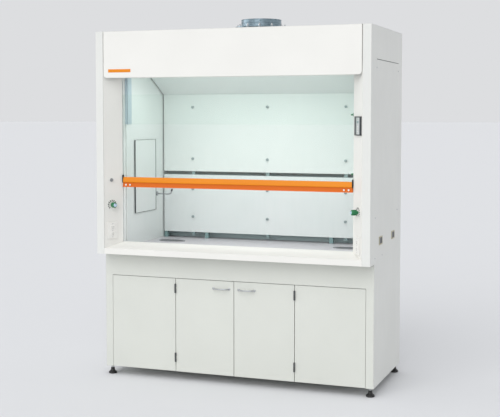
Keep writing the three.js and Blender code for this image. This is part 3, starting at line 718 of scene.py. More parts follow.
class Bench:
    """Hand tools for shaping the new pieces."""

    @staticmethod
    def clear() -> None:
        """Leave edit mode with nothing selected."""
        if bpy.context.object is not None and bpy.context.object.mode != "OBJECT":
            bpy.ops.object.mode_set(mode="OBJECT")
        bpy.ops.object.select_all(action="DESELECT")

    @staticmethod
    def take(piece: bpy.types.Object) -> None:
        """Select one piece and make it active."""
        Bench.clear()
        piece.select_set(True)
        bpy.context.view_layer.objects.active = piece

    @staticmethod
    def settle() -> None:
        """Move the active piece's place, turn and size into its mesh."""
        bpy.ops.object.transform_apply(location=True, rotation=True, scale=True)

    @staticmethod
    def block(name: str, low: Iterable[float], high: Iterable[float]) -> bpy.types.Object:
        """Rectangular blank between two corners.

        Args:
            name: Name of the piece.
            low: Lowest corner.
            high: Highest corner.

        Returns:
            The blank.
        """
        first, last = Vector(low), Vector(high)
        Bench.clear()
        bpy.ops.mesh.primitive_cube_add(size=1, location=(first + last) / 2)
        piece = bpy.context.object
        piece.name = name
        piece.scale = last - first
        Bench.settle()
        return piece

    @staticmethod
    def pick(piece: bpy.types.Object, test: Callable[[bmesh.types.BMFace], bool]) -> None:
        """Enter edit mode with the faces selected that pass a test.

        Args:
            piece: The piece to work on.
            test: Says whether a face is wanted.
        """
        Bench.take(piece)
        bpy.ops.object.mode_set(mode="EDIT")
        bpy.ops.mesh.select_mode(type="FACE")
        bpy.ops.mesh.select_all(action="DESELECT")
        shape = bmesh.from_edit_mesh(piece.data)
        for face in shape.faces:
            if test(face):
                face.select_set(True)
        bmesh.update_edit_mesh(piece.data)

    @staticmethod
    def recess(piece: bpy.types.Object, normal: Vector, border: float, depth: float) -> None:
        """Sink the middle of the faces that look one way.

        Args:
            piece: The piece to work on.
            normal: Direction that the faces look.
            border: Width of the rim left standing.
            depth: Depth of the recess.
        """
        Bench.pick(piece, lambda face: face.normal.dot(normal) > 0.99)
        bpy.ops.mesh.inset(thickness=border, depth=0)
        bpy.ops.mesh.extrude_region_move(TRANSFORM_OT_translate={"value": -normal * depth})
        bpy.ops.object.mode_set(mode="OBJECT")

    @staticmethod
    def soften(piece: bpy.types.Object, width: float, segments: int = 2) -> bpy.types.Object:
        """Round a piece's sharp edges.

        Args:
            piece: The piece to work on.
            width: Width of the rounding.
            segments: Number of facets across it.

        Returns:
            The same piece.
        """
        Bench.take(piece)
        rounding = piece.modifiers.new("rounding", "BEVEL")
        rounding.width = width
        rounding.segments = segments
        rounding.limit_method = "ANGLE"
        rounding.angle_limit = math.radians(40)
        bpy.ops.object.modifier_apply(modifier=rounding.name)
        bpy.ops.object.shade_smooth_by_angle(angle=math.radians(35))
        return piece

    @staticmethod
    def turned(name: str, profile: list[tuple[float, float]], steps: int = 32) -> bpy.types.Object:
        """Solid turned about Z by raising a disc step by step.

        Args:
            name: Name of the piece.
            profile: Radius and height of each step, from the bottom up, in millimetres.
            steps: Number of facets round it.

        Returns:
            The turned piece.
        """
        Bench.clear()
        radius, height = profile[0]
        bpy.ops.mesh.primitive_circle_add(
            vertices=steps, radius=radius * MM, fill_type="NGON", location=(0, 0, height * MM)
        )
        piece = bpy.context.object
        piece.name = name
        Bench.settle()
        bpy.ops.object.mode_set(mode="EDIT")
        bpy.ops.mesh.select_all(action="SELECT")
        for next_radius, next_height in profile[1:]:
            rise = (next_height - height) * MM
            bpy.ops.mesh.extrude_region_move(TRANSFORM_OT_translate={"value": (0, 0, rise)})
            ratio = next_radius / radius
            bpy.ops.transform.resize(value=(ratio, ratio, 1), center_override=(0, 0, next_height * MM))
            radius, height = next_radius, next_height
        bpy.ops.mesh.select_all(action="SELECT")
        bpy.ops.mesh.normals_make_consistent(inside=False)
        bpy.ops.object.mode_set(mode="OBJECT")
        bpy.ops.object.shade_smooth_by_angle(angle=math.radians(35))
        return piece

    @staticmethod
    def carve(piece: bpy.types.Object, tool: bpy.types.Object) -> None:
        """Cut one piece away from another and throw the cutter away.

        Args:
            piece: The piece that stays.
            tool: The cutter.
        """
        Bench.take(piece)
        cut = piece.modifiers.new("cut", "BOOLEAN")
        cut.operation = "DIFFERENCE"
        cut.object = tool
        bpy.ops.object.modifier_apply(modifier=cut.name)
        Bench.scrap(tool)

    @staticmethod
    def scrap(piece: bpy.types.Object) -> None:
        """Throw a piece and its mesh away."""
        mesh = piece.data
        bpy.data.objects.remove(piece)
        bpy.data.meshes.remove(mesh)

    @staticmethod
    def copied(source: bpy.types.Object, name: str, place: Matrix) -> bpy.types.Object:
        """Copy of a piece, with its own mesh, put in its place.

        Args:
            source: The piece to copy.
            name: Name of the copy.
            place: Where the source's own axes go.

        Returns:
            The copy.
        """
        Bench.take(source)
        bpy.ops.object.duplicate()
        twin = bpy.context.object
        twin.name = name
        twin.matrix_world = place
        Bench.settle()
        return twin

    @staticmethod
    def joined(name: str, pieces: list[bpy.types.Object]) -> bpy.types.Object:
        """Join loose pieces into one object.

        Args:
            name: Name of the whole.
            pieces: The pieces, which stop existing on their own.

        Returns:
            The whole.
        """
        Bench.take(pieces[0])
        for piece in pieces[1:]:
            piece.select_set(True)
        if len(pieces) > 1:
            bpy.ops.object.join()
        pieces[0].name = name
        return pieces[0]

    @staticmethod
    def facing(at: Vector, normal: Vector) -> Matrix:
        """Place whose Z axis looks along a normal and whose Y axis leans upwards.

        Args:
            at: Where the origin goes.
            normal: Where Z looks.

        Returns:
            The place as a matrix.
        """
        out = normal.normalized()
        up = Vector((0, 0, 1)) if abs(out.z) < 0.9 else Vector((0, 1, 0))
        across = up.cross(out).normalized()
        axes = Matrix((across, out.cross(across), out)).transposed().to_4x4()
        return Matrix.Translation(at) @ axes

    @staticmethod
    def merged_copy(node: str, name: str, smooth: float = 40.0) -> bpy.types.Object:
        """Copy of a CAD node with its triangles welded and its curves shaded smooth.

        Args:
            node: Name of the CAD node.
            name: Name of the copy.
            smooth: Largest angle in degrees that is still shaded as a curve.

        Returns:
            The copy.
        """
        source = bpy.data.objects[node]
        twin = bpy.data.objects.new(name, source.data.copy())
        bpy.context.scene.collection.objects.link(twin)
        Bench.take(twin)
        bpy.ops.object.mode_set(mode="EDIT")
        bpy.ops.mesh.select_all(action="SELECT")
        bpy.ops.mesh.remove_doubles(threshold=2e-6)
        bpy.ops.mesh.dissolve_limited(angle_limit=math.radians(0.4))
        bpy.ops.object.mode_set(mode="OBJECT")
        if twin.data.has_custom_normals:
            bpy.ops.mesh.customdata_custom_splitnormals_clear()
        bpy.ops.object.shade_smooth_by_angle(angle=math.radians(smooth))
        return twin

    @staticmethod
    def pan_screw(radius: float) -> bpy.types.Object:
        """Domed screw head with a cross recess, standing on Z = 0.

        Args:
            radius: Radius of the head in millimetres.

        Returns:
            The head.
        """
        dome = ((1.0, 0.0), (1.0, 0.18), (0.86, 0.4), (0.5, 0.52))
        head = Bench.turned("screw_head", [(radius * r, radius * z) for r, z in dome], 20)
        arm, width, top = 0.55 * radius * MM, 0.11 * radius * MM, radius * MM
        for size in ((arm, width), (width, arm)):
            low = (-size[0], -size[1], 0.3 * top)
            Bench.carve(head, Bench.block("cutter", low, (size[0], size[1], top)))
        return head


@dataclass
class SubAssembly:
    """What every sub-assembly of the hood shares."""

    pieces: list[str] = field(default_factory=list, init=False)

    def fit(
        self,
        piece: bpy.types.Object,
        coat: Coat,
        body: str = "root",
        replaces: tuple[str, ...] = (),
    ) -> bpy.types.Object:
        """Dress a finished piece and hang it on its body.

        Args:
            piece: The piece, already in its place.
            coat: Its finish.
            body: The body that it moves with.
            replaces: CAD nodes that it stands for.

        Returns:
            The same piece.
        """
        Paintshop.dress(piece, coat)
        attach(piece, body)
        self.enter(piece, coat, replaces)
        return piece

    def enter(self, piece: bpy.types.Object, coat: Coat, replaces: tuple[str, ...] = ()) -> None:
        """Hide the CAD nodes that a piece stands for, and list the piece.

        Args:
            piece: The piece.
            coat: Its finish; not used.
            replaces: CAD nodes that it stands for.
        """
        if replaces:
            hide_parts(*replaces)
        self.pieces.append(piece.name)
        log.info("%s: %s", type(self).__name__, piece.name)

    def refine(
        self,
        node: str,
        coat: Coat,
        body: str = "root",
        smooth: float = 40.0,
    ) -> bpy.types.Object:
        """Stand a smooth-shaded copy in for a CAD node.

        Args:
            node: Name of the CAD node.
            coat: Its finish.
            body: The body that it moves with.
            smooth: Largest angle in degrees that is still shaded as a curve.

        Returns:
            The copy.
        """
        return self.fit(Bench.merged_copy(node, f"{node}_fine", smooth), coat, body, (node,))

    def ease(self, nodes: Iterable[str], coat: Coat, body: str = "root", width: float = 0.7) -> None:
        """Stand copies with rounded edges in for plain CAD nodes.

        Args:
            nodes: Names of the CAD nodes.
            coat: Their finish.
            body: The body that they move with.
            width: Width of the rounding in millimetres.
        """
        for node in nodes:
            copy = Bench.soften(Bench.merged_copy(node, f"{node}_fine"), width * MM)
            self.fit(copy, coat, body, (node,))

    def mount(
        self,
        blank: bpy.types.Object,
        name: str,
        place: Matrix,
        coat: Coat,
        body: str = "root",
        replaces: tuple[str, ...] = (),
    ) -> None:
        """Put a part shaped at the origin in its place as a finished piece, and scrap the blank.

        Args:
            blank: The part, shaped at the origin.
            name: Name of the finished piece.
            place: Where the blank's own axes go.
            coat: Its finish.
            body: The body that it moves with.
            replaces: CAD nodes that it stands for.
        """
        piece = Bench.copied(blank, name, place)
        Bench.scrap(blank)
        self.fit(piece, coat, body, replaces)

    def scatter(
        self,
        name: str,
        master: bpy.types.Object,
        places: list[Matrix],
        coat: Coat,
        body: str = "root",
    ) -> bpy.types.Object:
        """Set copies of one small part, joined into one piece, and scrap the master.

        Args:
            name: Name of the joined piece.
            master: The part to copy.
            places: Where each copy goes.
            coat: The finish.
            body: The body that the piece moves with.

        Returns:
            The joined piece.
        """
        copies = [Bench.copied(master, f"{name}_{i}", place) for i, place in enumerate(places)]
        Bench.scrap(master)
        return self.fit(Bench.joined(name, copies), coat, body)


# ---------------------------------------------------------------- the hood


@dataclass
class Casing(SubAssembly):
    """Outer sheet steel: side seams, screws, service grommets, colour bar and rear fixings."""

    screw_radius: float = 4.6
    seam_below_roof: float = 199 * MM
    seam_span: tuple[float, float] = (26 * MM, 628 * MM)
    seam_width: float = 3.6 * MM
    screw_places: tuple[tuple[float, float], ...] = (
        (28, 249),
        (624, 249),
        (10, 1145),
        (621, 1145),
        (10, 1389),
        (200, 1389),
    )
    grommet_places: tuple[tuple[float, float], ...] = ((156, 1295), (498, 1295))
    grommet_half: tuple[float, float] = (42 * MM, 26 * MM)
    grommet_rim: float = 7.4 * MM
    badge: tuple[float, float, float, float] = (32, 190, 238, 258)

    def build(self) -> None:
        """Build every piece of the casing."""
        sides = [side.word for side in Side]
        # Sides and columns take the darker copy of the white steel: painted shade.
        self.ease([f"side_panel_{word}" for word in sides], Coat.CASING_STEEL)
        self.ease(["rear_panel"], Coat.LINED_STEEL, width=0.4)
        self.ease([f"corner_column_{word}" for word in sides], Coat.CASING_STEEL, width=0.6)
        self.ease(["header_panel", "sill_panel"], Coat.WHITE_STEEL, width=0.6)
        for side in Side:
            self.side_fittings(side)
        self.rear_screws()
        self.badge_bar()

    def side_fittings(self, side: Side) -> None:
        """Seam, screws and grommets on one side panel.

        Args:
            side: Which side panel.
        """
        low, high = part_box(f"side_panel_{side.word}")
        face = high.x if side is Side.RIGHT else low.x
        out = Vector((side.value, 0, 0))
        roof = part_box("roof_panel")[1].z
        z = roof - self.seam_below_roof
        ends = sorted((face - out.x * 0.2 * MM, face + out.x * 0.5 * MM))
        seam = Bench.block(
            f"side_seam_{side.word}",
            (ends[0], low.y + self.seam_span[0], z - self.seam_width / 2),
            (ends[1], low.y + self.seam_span[1], z + self.seam_width / 2),
        )
        self.fit(Bench.soften(seam, 0.15 * MM), Coat.GASKET)
        places = [
            Bench.facing(Vector((face, low.y + y * MM, roof - z * MM)), out)
            for y, z in self.screw_places
        ]
        screw = Bench.pan_screw(self.screw_radius)
        self.scatter(f"side_screws_{side.word}", screw, places, Coat.STEEL)
        for index, (y, z) in enumerate(self.grommet_places):
            self.grommet(f"{side.word}_{index + 1}", Vector((face, low.y + y * MM, roof - z * MM)), out)

    def grommet(self, name: str, at: Vector, out: Vector) -> None:
        """Cable grommet: a moulded frame round a dark flap.

        Args:
            name: Ending of the pieces' names.
            at: Middle of the grommet on the panel.
            out: Direction away from the panel.
        """
        wide, tall = self.grommet_half
        frame = Bench.block("grommet", (-wide, -tall, 0), (wide, tall, 3 * MM))
        Bench.recess(frame, Vector((0, 0, 1)), 7 * MM, 2 * MM)
        place = Bench.facing(at, out)
        self.mount(Bench.soften(frame, 0.8 * MM), f"grommet_frame_{name}", place, Coat.BEIGE)
        reach, rise = wide - self.grommet_rim, tall - self.grommet_rim
        flap = Bench.block("flap", (-reach, -rise, 1 * MM), (reach, rise, 2.2 * MM))
        Bench.recess(flap, Vector((0, 0, 1)), 2 * MM, 0.4 * MM)
        self.mount(Bench.soften(flap, 0.3 * MM), f"grommet_flap_{name}", place, Coat.DARK_PLASTIC)

    def rear_screws(self) -> None:
        """Screws along the edges of the rear panel."""
        low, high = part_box("rear_panel")
        inset = 30 * MM
        columns = (low.x + inset, 0.0, high.x - inset)
        rows = [low.z + inset + i * (high.z - low.z - 2 * inset) / 4 for i in range(5)]
        spots = [(x, z) for x in columns for z in rows if x or z in (rows[0], rows[-1])]
        places = [Bench.facing(Vector((x, high.y, z)), Vector((0, 1, 0))) for x, z in spots]
        self.scatter("rear_screws", Bench.pan_screw(self.screw_radius), places, Coat.STEEL)

    def badge_bar(self) -> None:
        """Plain colour bar at the left end of the header."""
        low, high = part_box("header_panel")
        left, right, top, bottom = (v * MM for v in self.badge)
        bar = Bench.block(
            "header_colour_bar",
            (low.x + left, low.y - 1.0 * MM, high.z - bottom),
            (low.x + right, low.y + 0.1 * MM, high.z - top),
        )
        self.fit(Bench.soften(bar, 0.5 * MM), Coat.ORANGE)


@dataclass
class DuctCollar(SubAssembly):
    """Round exhaust spigot with its bolted flange."""

    bolt_circle: float = 157 * MM
    bolts: int = 12
    flange_rise: tuple[float, float] = (46 * MM, 50 * MM)

    def build(self) -> None:
        """Build the collar and its bolts."""
        low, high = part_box("duct_collar")
        centre = (low + high) / 2
        self.refine("duct_collar", Coat.ZINC)
        flange_top = low.z + self.flange_rise[1]
        thick = (self.flange_rise[1] - self.flange_rise[0]) / MM
        washer = Bench.turned("washer", [(9.5, -0.2), (9.5, 1.4), (9.0, 1.7)], 28)
        nut = Bench.turned("nut", [(7.4, 1.4), (8.0, 2.0), (8.0, 8.4), (7.2, 9.2)], 6)
        stud = Bench.turned("stud", [(4.4, 8), (4.4, 16.5), (3.6, 17.5)], 20)
        head = Bench.turned("head", [(7.2, -thick - 6), (8.0, -thick - 5.4), (8.0, -thick + 0.2)], 6)
        bolt = Bench.joined("bolt", [washer, nut, stud, head])
        places = []
        for i in range(self.bolts):
            angle = 2 * math.pi * (i + 0.5) / self.bolts
            spot = Vector((math.cos(angle), math.sin(angle), 0)) * self.bolt_circle
            places.append(Matrix.Translation(Vector((centre.x, centre.y, flange_top)) + spot))
        self.scatter("collar_bolts", bolt, places, Coat.STEEL)
        self.rolled_rim(centre, high.z)

    def rolled_rim(self, centre: Vector, top: float) -> None:
        """Beads rolled round the spigot.

        Args:
            centre: Middle of the collar.
            top: Height of the rim.
        """
        spigot = 132.5 * MM
        beads = []
        for height in (top - 2 * MM, top - 24 * MM):
            Bench.clear()
            bpy.ops.mesh.primitive_torus_add(
                location=(centre.x, centre.y, height),
                major_radius=spigot,
                minor_radius=1.8 * MM,
                major_segments=72,
                minor_segments=8,
            )
            bead = bpy.context.object
            Bench.settle()
            bpy.ops.object.shade_smooth()
            beads.append(bead)
        self.fit(Bench.joined("collar_beads", beads), Coat.ZINC)


@dataclass
class Jamb(SubAssembly):
    """Splayed service jamb: valve dial and knob, outlets, and the switch or the airflow monitor."""

    side: Side = Side.RIGHT
    valve: tuple[float, float] = (58, 1127)
    switch: tuple[float, float] = (55, 1287)
    dial_radius: float = 36.0
    dial_marks: int = 11
    dial_sweep: float = 270.0
    splay_depth: float = 108 * MM
    sense: float = field(default=1.0, init=False)

    def frame(self) -> Matrix:
        """Axes of the jamb: X along the face, Y up and Z out of it, from the column's inner corner."""
        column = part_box(f"corner_column_{self.side.word}")
        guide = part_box(f"sash_guide_{self.side.word}")
        if self.side is Side.RIGHT:
            corner, inner = column[0].x, guide[0].x
        else:
            corner, inner = column[1].x, guide[1].x
        start = Vector((corner, column[0].y, 0))
        along = Vector((inner - corner, self.splay_depth, 0)).normalized()
        up = Vector((0, 0, 1))
        out = Vector((-self.side.value * along.y, self.side.value * along.x, 0))
        across = up.cross(out)
        self.sense = 1.0 if across.dot(along) > 0 else -1.0
        return Matrix.Translation(start) @ Matrix((across, up, out)).transposed().to_4x4()

    def spot(self, along: float, height: float, out: float = 0.0) -> Matrix:
        """Place on the jamb.

        Args:
            along: Distance from the column along the face, in millimetres.
            height: Height above the floor, in millimetres.
            out: Distance out of the face, in millimetres.

        Returns:
            The place as a matrix.
        """
        frame = self.frame()
        return frame @ Matrix.Translation((self.sense * along * MM, height * MM, out * MM))

    def build(self) -> None:
        """Build every piece of the jamb."""
        self.ease([f"outlet_plate_{self.side.word}"], Coat.DEVICE_WHITE, width=1.4)
        self.dial()
        self.knob()
        self.outlets()
        if self.side is Side.LEFT:
            self.switch_ring()
        else:
            self.monitor_face()

    def dial(self) -> None:
        """White dial plate with dark marks round it."""
        r = self.dial_radius
        profile = [(r, 0), (r, 1.0), (r - 1.2, 1.8), (r - 4.0, 1.8), (r - 4.6, 1.3)]
        plate = Bench.turned("dial", profile, 48)
        place = self.spot(*self.valve)
        self.mount(plate, f"valve_dial_{self.side.word}", place, Coat.DEVICE_WHITE)
        half_width, inner, outer = 2.5 * MM, (r - 15) * MM, (r - 4.6) * MM
        mark = Bench.block("mark", (-half_width, inner, 1.2 * MM), (half_width, outer, 2.1 * MM))
        Bench.soften(mark, 0.25 * MM)
        places = []
        for i in range(self.dial_marks):
            turn = math.radians(self.dial_sweep * (i / (self.dial_marks - 1) - 0.5))
            places.append(place @ Matrix.Rotation(turn, 4, "Z"))
        self.scatter(f"dial_marks_{self.side.word}", mark, places, Coat.BLACK_NYLON)

    def knob(self) -> None:
        """Fluted valve knob with its pale cap and pointer."""
        body = f"valve_knob_{self.side.word}"
        place = self.spot(*self.valve)
        profile = [(9, 1.5), (9, 12), (15.8, 12.8), (17, 14.6), (17, 39), (14.5, 44.4), (12.4, 46)]
        knob = Bench.turned("knob", profile, 32)

        def in_flute(face: bmesh.types.BMFace) -> bool:
            """Whether a face is on the barrel and in one of the eight flutes."""
            middle = face.calc_center_median()
            turn = math.atan2(middle.y, middle.x) / (2 * math.pi) * 8
            on_barrel = abs(face.normal.z) < 0.1 and 15 * MM < middle.z < 39 * MM
            return on_barrel and (turn % 1.0) < 0.5

        Bench.pick(knob, in_flute)
        bpy.ops.mesh.extrude_region_shrink_fatten(TRANSFORM_OT_shrink_fatten={"value": -1.8 * MM})
        bpy.ops.object.mode_set(mode="OBJECT")
        bpy.ops.object.shade_smooth_by_angle(angle=math.radians(30))
        self.mount(knob, f"valve_grip_{self.side.word}", place, Coat.GREEN, body, (body,))
        cap = Bench.turned("cap", [(11.4, 45.6), (11.4, 47), (10.2, 48.2), (6, 48.8)], 32)
        self.mount(cap, f"valve_cap_{self.side.word}", place, Coat.PALE_CAP, body)
        pointer = Bench.block("pointer", (-1.3 * MM, 4 * MM, 48.2 * MM), (1.3 * MM, 11 * MM, 49.3 * MM))
        Bench.soften(pointer, 0.3 * MM)
        self.mount(pointer, f"valve_pointer_{self.side.word}", place, Coat.DARK_PLASTIC, body)

    def outlets(self) -> None:
        """Two socket faces on the outlet plate, with their slots and the fixing screw."""
        low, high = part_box(f"outlet_plate_{self.side.word}")
        middle = (low.z + high.z) / 2 / MM
        along = self.valve[0]
        top = 7.0
        face = Bench.block("socket", (-16 * MM, -13 * MM, -1 * MM), (16 * MM, 13 * MM, 1.6 * MM))
        Bench.pick(face, lambda f: f.normal.z > 0.99)
        bpy.ops.mesh.inset(thickness=1.6 * MM, depth=0)
        bpy.ops.mesh.extrude_region_move(TRANSFORM_OT_translate={"value": (0, 0, 0.6 * MM)})
        bpy.ops.object.mode_set(mode="OBJECT")
        Bench.soften(face, 1.4 * MM, 3)
        heights = [middle + 21, middle - 21]
        places = [self.spot(along, z, top) for z in heights]
        self.scatter(f"socket_faces_{self.side.word}", face, places, Coat.DEVICE_WHITE)
        blade = Bench.block("blade", (-1.1 * MM, -4.2 * MM, 1.5 * MM), (1.1 * MM, 4.2 * MM, 2.5 * MM))
        Bench.soften(blade, 0.3 * MM)
        places = [self.spot(along + dx, z + 1.5, top) for z in heights for dx in (-6.2, 6.2)]
        self.scatter(f"socket_slots_{self.side.word}", blade, places, Coat.DARK_PLASTIC)
        earth = Bench.turned("earth", [(2.4, 1.5), (2.4, 2.3), (2.0, 2.5)], 16)
        places = [self.spot(along, z - 7.4, top) for z in heights]
        self.scatter(f"socket_earths_{self.side.word}", earth, places, Coat.DARK_PLASTIC)
        screws = [self.spot(along, middle + dz, top) for dz in (-42, 0, 42)]
        self.scatter(f"outlet_screws_{self.side.word}", Bench.pan_screw(2.8), screws, Coat.STEEL)

    def switch_ring(self) -> None:
        """Bezel round the lamp switch, and the button with a dished face."""
        ring = Bench.turned("ring", [(12.2, 0), (12.2, 1.6), (11.4, 2.6), (10.4, 2.6)], 40)
        Bench.carve(ring, Bench.turned("bore", [(9.7, -1), (9.7, 5)], 40))
        place = self.spot(*self.switch)
        self.mount(ring, "switch_bezel", place, Coat.STEEL)
        button = Bench.turned("button", [(9, -6), (9, 7.6), (8, 8.8), (6.4, 8.8), (5.4, 8.2)], 32)
        self.mount(button, "switch_button", place, Coat.BUTTON, "lamp_switch", ("lamp_switch",))

    def monitor_face(self) -> None:
        """Front of the airflow monitor: dark bezel, pale panel, display, keys and two lamps."""
        self.ease(["airflow_monitor"], Coat.DARK_PLASTIC, width=1.4)
        low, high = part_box("airflow_monitor")
        height = (low.z + high.z) / 2 / MM
        tall = (high.z - low.z) / 2 / MM
        along, wide, top = 57.0, 45.0, 9.0
        centre = 12.0
        place = self.spot(along, height, top)

        def plate(name: str, box: tuple[float, ...], coat: Coat, rounding: float) -> None:
            """Softened plate on the monitor's front.

            Args:
                name: Ending of the piece's name.
                box: Low and high X, Y and Z in millimetres from the monitor's front.
                coat: Its finish.
                rounding: Width of its rounding in millimetres.
            """
            x0, x1, y0, y1, z0, z1 = (v * MM for v in box)
            blank = Bench.soften(Bench.block(name, (x0, y0, z0), (x1, y1, z1)), rounding * MM)
            self.mount(blank, f"monitor_{name}", place, coat)

        plate("bezel", (-wide + 1, wide - 1, -tall + 1, tall - 1, -0.2, 1.2), Coat.DARK_PLASTIC, 0.6)
        plate("panel", (centre - 23, centre + 23, -tall + 7, tall - 7, 1.0, 2.4), Coat.DEVICE_GREY, 0.6)
        plate("display", (centre - 13, centre + 13, 16, 30, 2.0, 3.0), Coat.SLOT_FRAME, 0.3)
        key = Bench.turned("key", [(3.6, 2.0), (3.6, 3.4), (2.8, 4.0)], 20)
        places = [place @ Matrix.Translation((centre * MM, y * MM, 0)) for y in (-4, -18, -32)]
        self.scatter("monitor_keys", key, places, Coat.DEVICE_WHITE)
        lamp = Bench.turned("led", [(1.8, 2.0), (1.8, 3.1), (1.1, 3.7)], 16)
        places = [place @ Matrix.Translation(((centre + x) * MM, 41 * MM, 0)) for x in (-5, 5)]
        self.scatter("monitor_lamps", lamp, places, Coat.GREEN)


@dataclass
class Chamber(SubAssembly):
    """Lined chamber: stud caps, access-panel seals with painted shade, sash pads, cup grilles, spout and
    nozzles.
    """

    stud_columns: tuple[float, ...] = (-550, 0, 550)
    stud_rows: tuple[float, ...] = (996, 1190, 1402, 1760)
    gasket_width: float = 8 * MM
    pad_depth: tuple[float, float] = (11.5 * MM, 84.5 * MM)
    pad_top: float = 2.0905
    cup_bars: int = 9

    def build(self) -> None:
        """Build every piece of the chamber."""
        lined = ["access_panel_left", "access_panel_right", "baffle_upper", "ceiling_panel"]
        self.ease(lined, Coat.LINER)
        self.ease(["worktop"], Coat.WORKTOP, width=1.2)
        self.stud_caps()
        for side in Side:
            self.access_gasket(side)
            self.access_screws(side)
            self.cup(side)
        for node, coat in (
            ("wall_nozzle_upper", Coat.GREEN),
            ("wall_nozzle_lower", Coat.GREEN),
            ("service_spout", Coat.STEEL),
        ):
            self.refine(node, coat)
        self.spout_tip()
        for side in Side:
            self.stile_pad(side)

    def stile_pad(self, side: Side) -> None:
        """Pale blue facing on the raised pad beside the upper sash.

        Args:
            side: Which wall.
        """
        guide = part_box(f"sash_guide_{side.word}")
        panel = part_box(f"access_panel_{side.word}")
        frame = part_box("upper_sash_frame")
        wall = (panel[1].x if side is Side.RIGHT else panel[0].x) + side.value * 0.3 * MM
        x0, x1 = sorted((wall - side.value * 5 * MM, wall - side.value * 1 * MM))
        front, back = (guide[1].y + depth for depth in self.pad_depth)
        low, high = (x0, front, frame[0].z - 0.5 * MM), (x1, back, self.pad_top)
        facing = Bench.block(f"stile_pad_{side.word}", low, high)
        self.fit(Bench.soften(facing, 0.8 * MM), Coat.ANODISED)

    def stud_caps(self) -> None:
        """Slotted caps on the studs that hold the baffles."""
        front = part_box("baffle_frame")[0].y
        cap = Bench.turned("cap", [(9.2, -2.5), (9.2, 1.0), (8.0, 2.8), (5.3, 3.6)], 28)
        slot = Bench.block("slot", (-12 * MM, -0.9 * MM, 2.6 * MM), (12 * MM, 0.9 * MM, 6 * MM))
        Bench.carve(cap, slot)
        places = [
            Bench.facing(Vector((x * MM, front, z * MM)), Vector((0, -1, 0)))
            for x in self.stud_columns
            for z in self.stud_rows
        ]
        self.scatter("stud_caps", cap, places, Coat.STUD_CAP)

    def access_gasket(self, side: Side) -> None:
        """Dark strip round an access panel, partly a seal and partly painted shade: widest at the front
        edge.

        Args:
            side: Which wall.
        """
        low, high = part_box(f"access_panel_{side.word}")
        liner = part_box(f"side_liner_{side.word}")
        wall = liner[0].x if side is Side.RIGHT else liner[1].x
        into = wall - side.value * 4 * MM
        # Painted shade: full width at the front edge, a sixth at top and bottom, a fourteenth at the
        # back.
        edge = self.gasket_width
        slack = 0.2 * MM
        x0, x1 = sorted((wall, into))
        ring = Bench.block(
            f"access_gasket_{side.word}",
            (x0, low.y - edge, low.z - edge / 6),
            (x1, high.y + edge / 14, high.z + edge / 6),
        )
        opening = Bench.block(
            "opening",
            (x0 - 1, low.y - slack, low.z - slack),
            (x1 + 1, high.y + slack, high.z + slack),
        )
        Bench.carve(ring, opening)
        self.fit(Bench.soften(ring, 0.3 * MM, 1), Coat.GASKET)

    def access_screws(self, side: Side) -> None:
        """Capped screws at the corners of an access panel.

        Args:
            side: Which wall.
        """
        low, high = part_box(f"access_panel_{side.word}")
        inward = Vector((-side.value, 0, 0))
        face = low.x if side is Side.RIGHT else high.x
        inset = 9 * MM
        places = [
            Bench.facing(Vector((face, y, z)), inward)
            for y in (low.y + inset, high.y - inset)
            for z in (low.z + inset, high.z - inset)
        ]
        self.scatter(f"access_screws_{side.word}", Bench.pan_screw(4.0), places, Coat.WHITE_SCREW)

    def cup(self, side: Side) -> None:
        """Smooth cup and the grille bars across its bowl.

        Args:
            side: Which cup.
        """
        node = f"cup_sink_{side.word}"
        low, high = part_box(node)
        self.refine(node, Coat.CUP)
        middle = (low + high) / 2
        reach = (high.x - low.x) / 2 - 13 * MM
        half = (high.y - low.y) / 2 - 13 * MM
        bars = []
        for i in range(self.cup_bars):
            x = (2 * (i + 1) / (self.cup_bars + 1) - 1) * reach
            y = half * math.sqrt(1 - (x / reach) ** 2) - 0.5 * MM
            top = high.z - 9 * MM
            bar = Bench.block(
                f"bar_{i}",
                (middle.x + x - 1.6 * MM, middle.y - y, top - 3 * MM),
                (middle.x + x + 1.6 * MM, middle.y + y, top),
            )
            bars.append(Bench.soften(bar, 0.7 * MM))
        self.fit(Bench.joined(f"cup_grille_{side.word}", bars), Coat.DARK_PLASTIC)

    def spout_tip(self) -> None:
        """Dark hose barb on the end of the spout."""
        low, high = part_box("service_spout")
        profile = [(5.6, 0), (6.6, 5), (5.4, 5.2), (6.4, 11), (5.2, 11.2), (6.0, 17), (4.0, 19)]
        barb = Bench.turned("barb", profile, 20)
        centre_y = (low.y + high.y) / 2
        tip = Vector((high.x - 5.4 * MM, centre_y, high.z - 8 * MM))
        lean = Matrix.Rotation(math.radians(16), 4, "Y")
        self.mount(barb, "spout_barb", Matrix.Translation(tip) @ lean, Coat.DARK_STEEL)


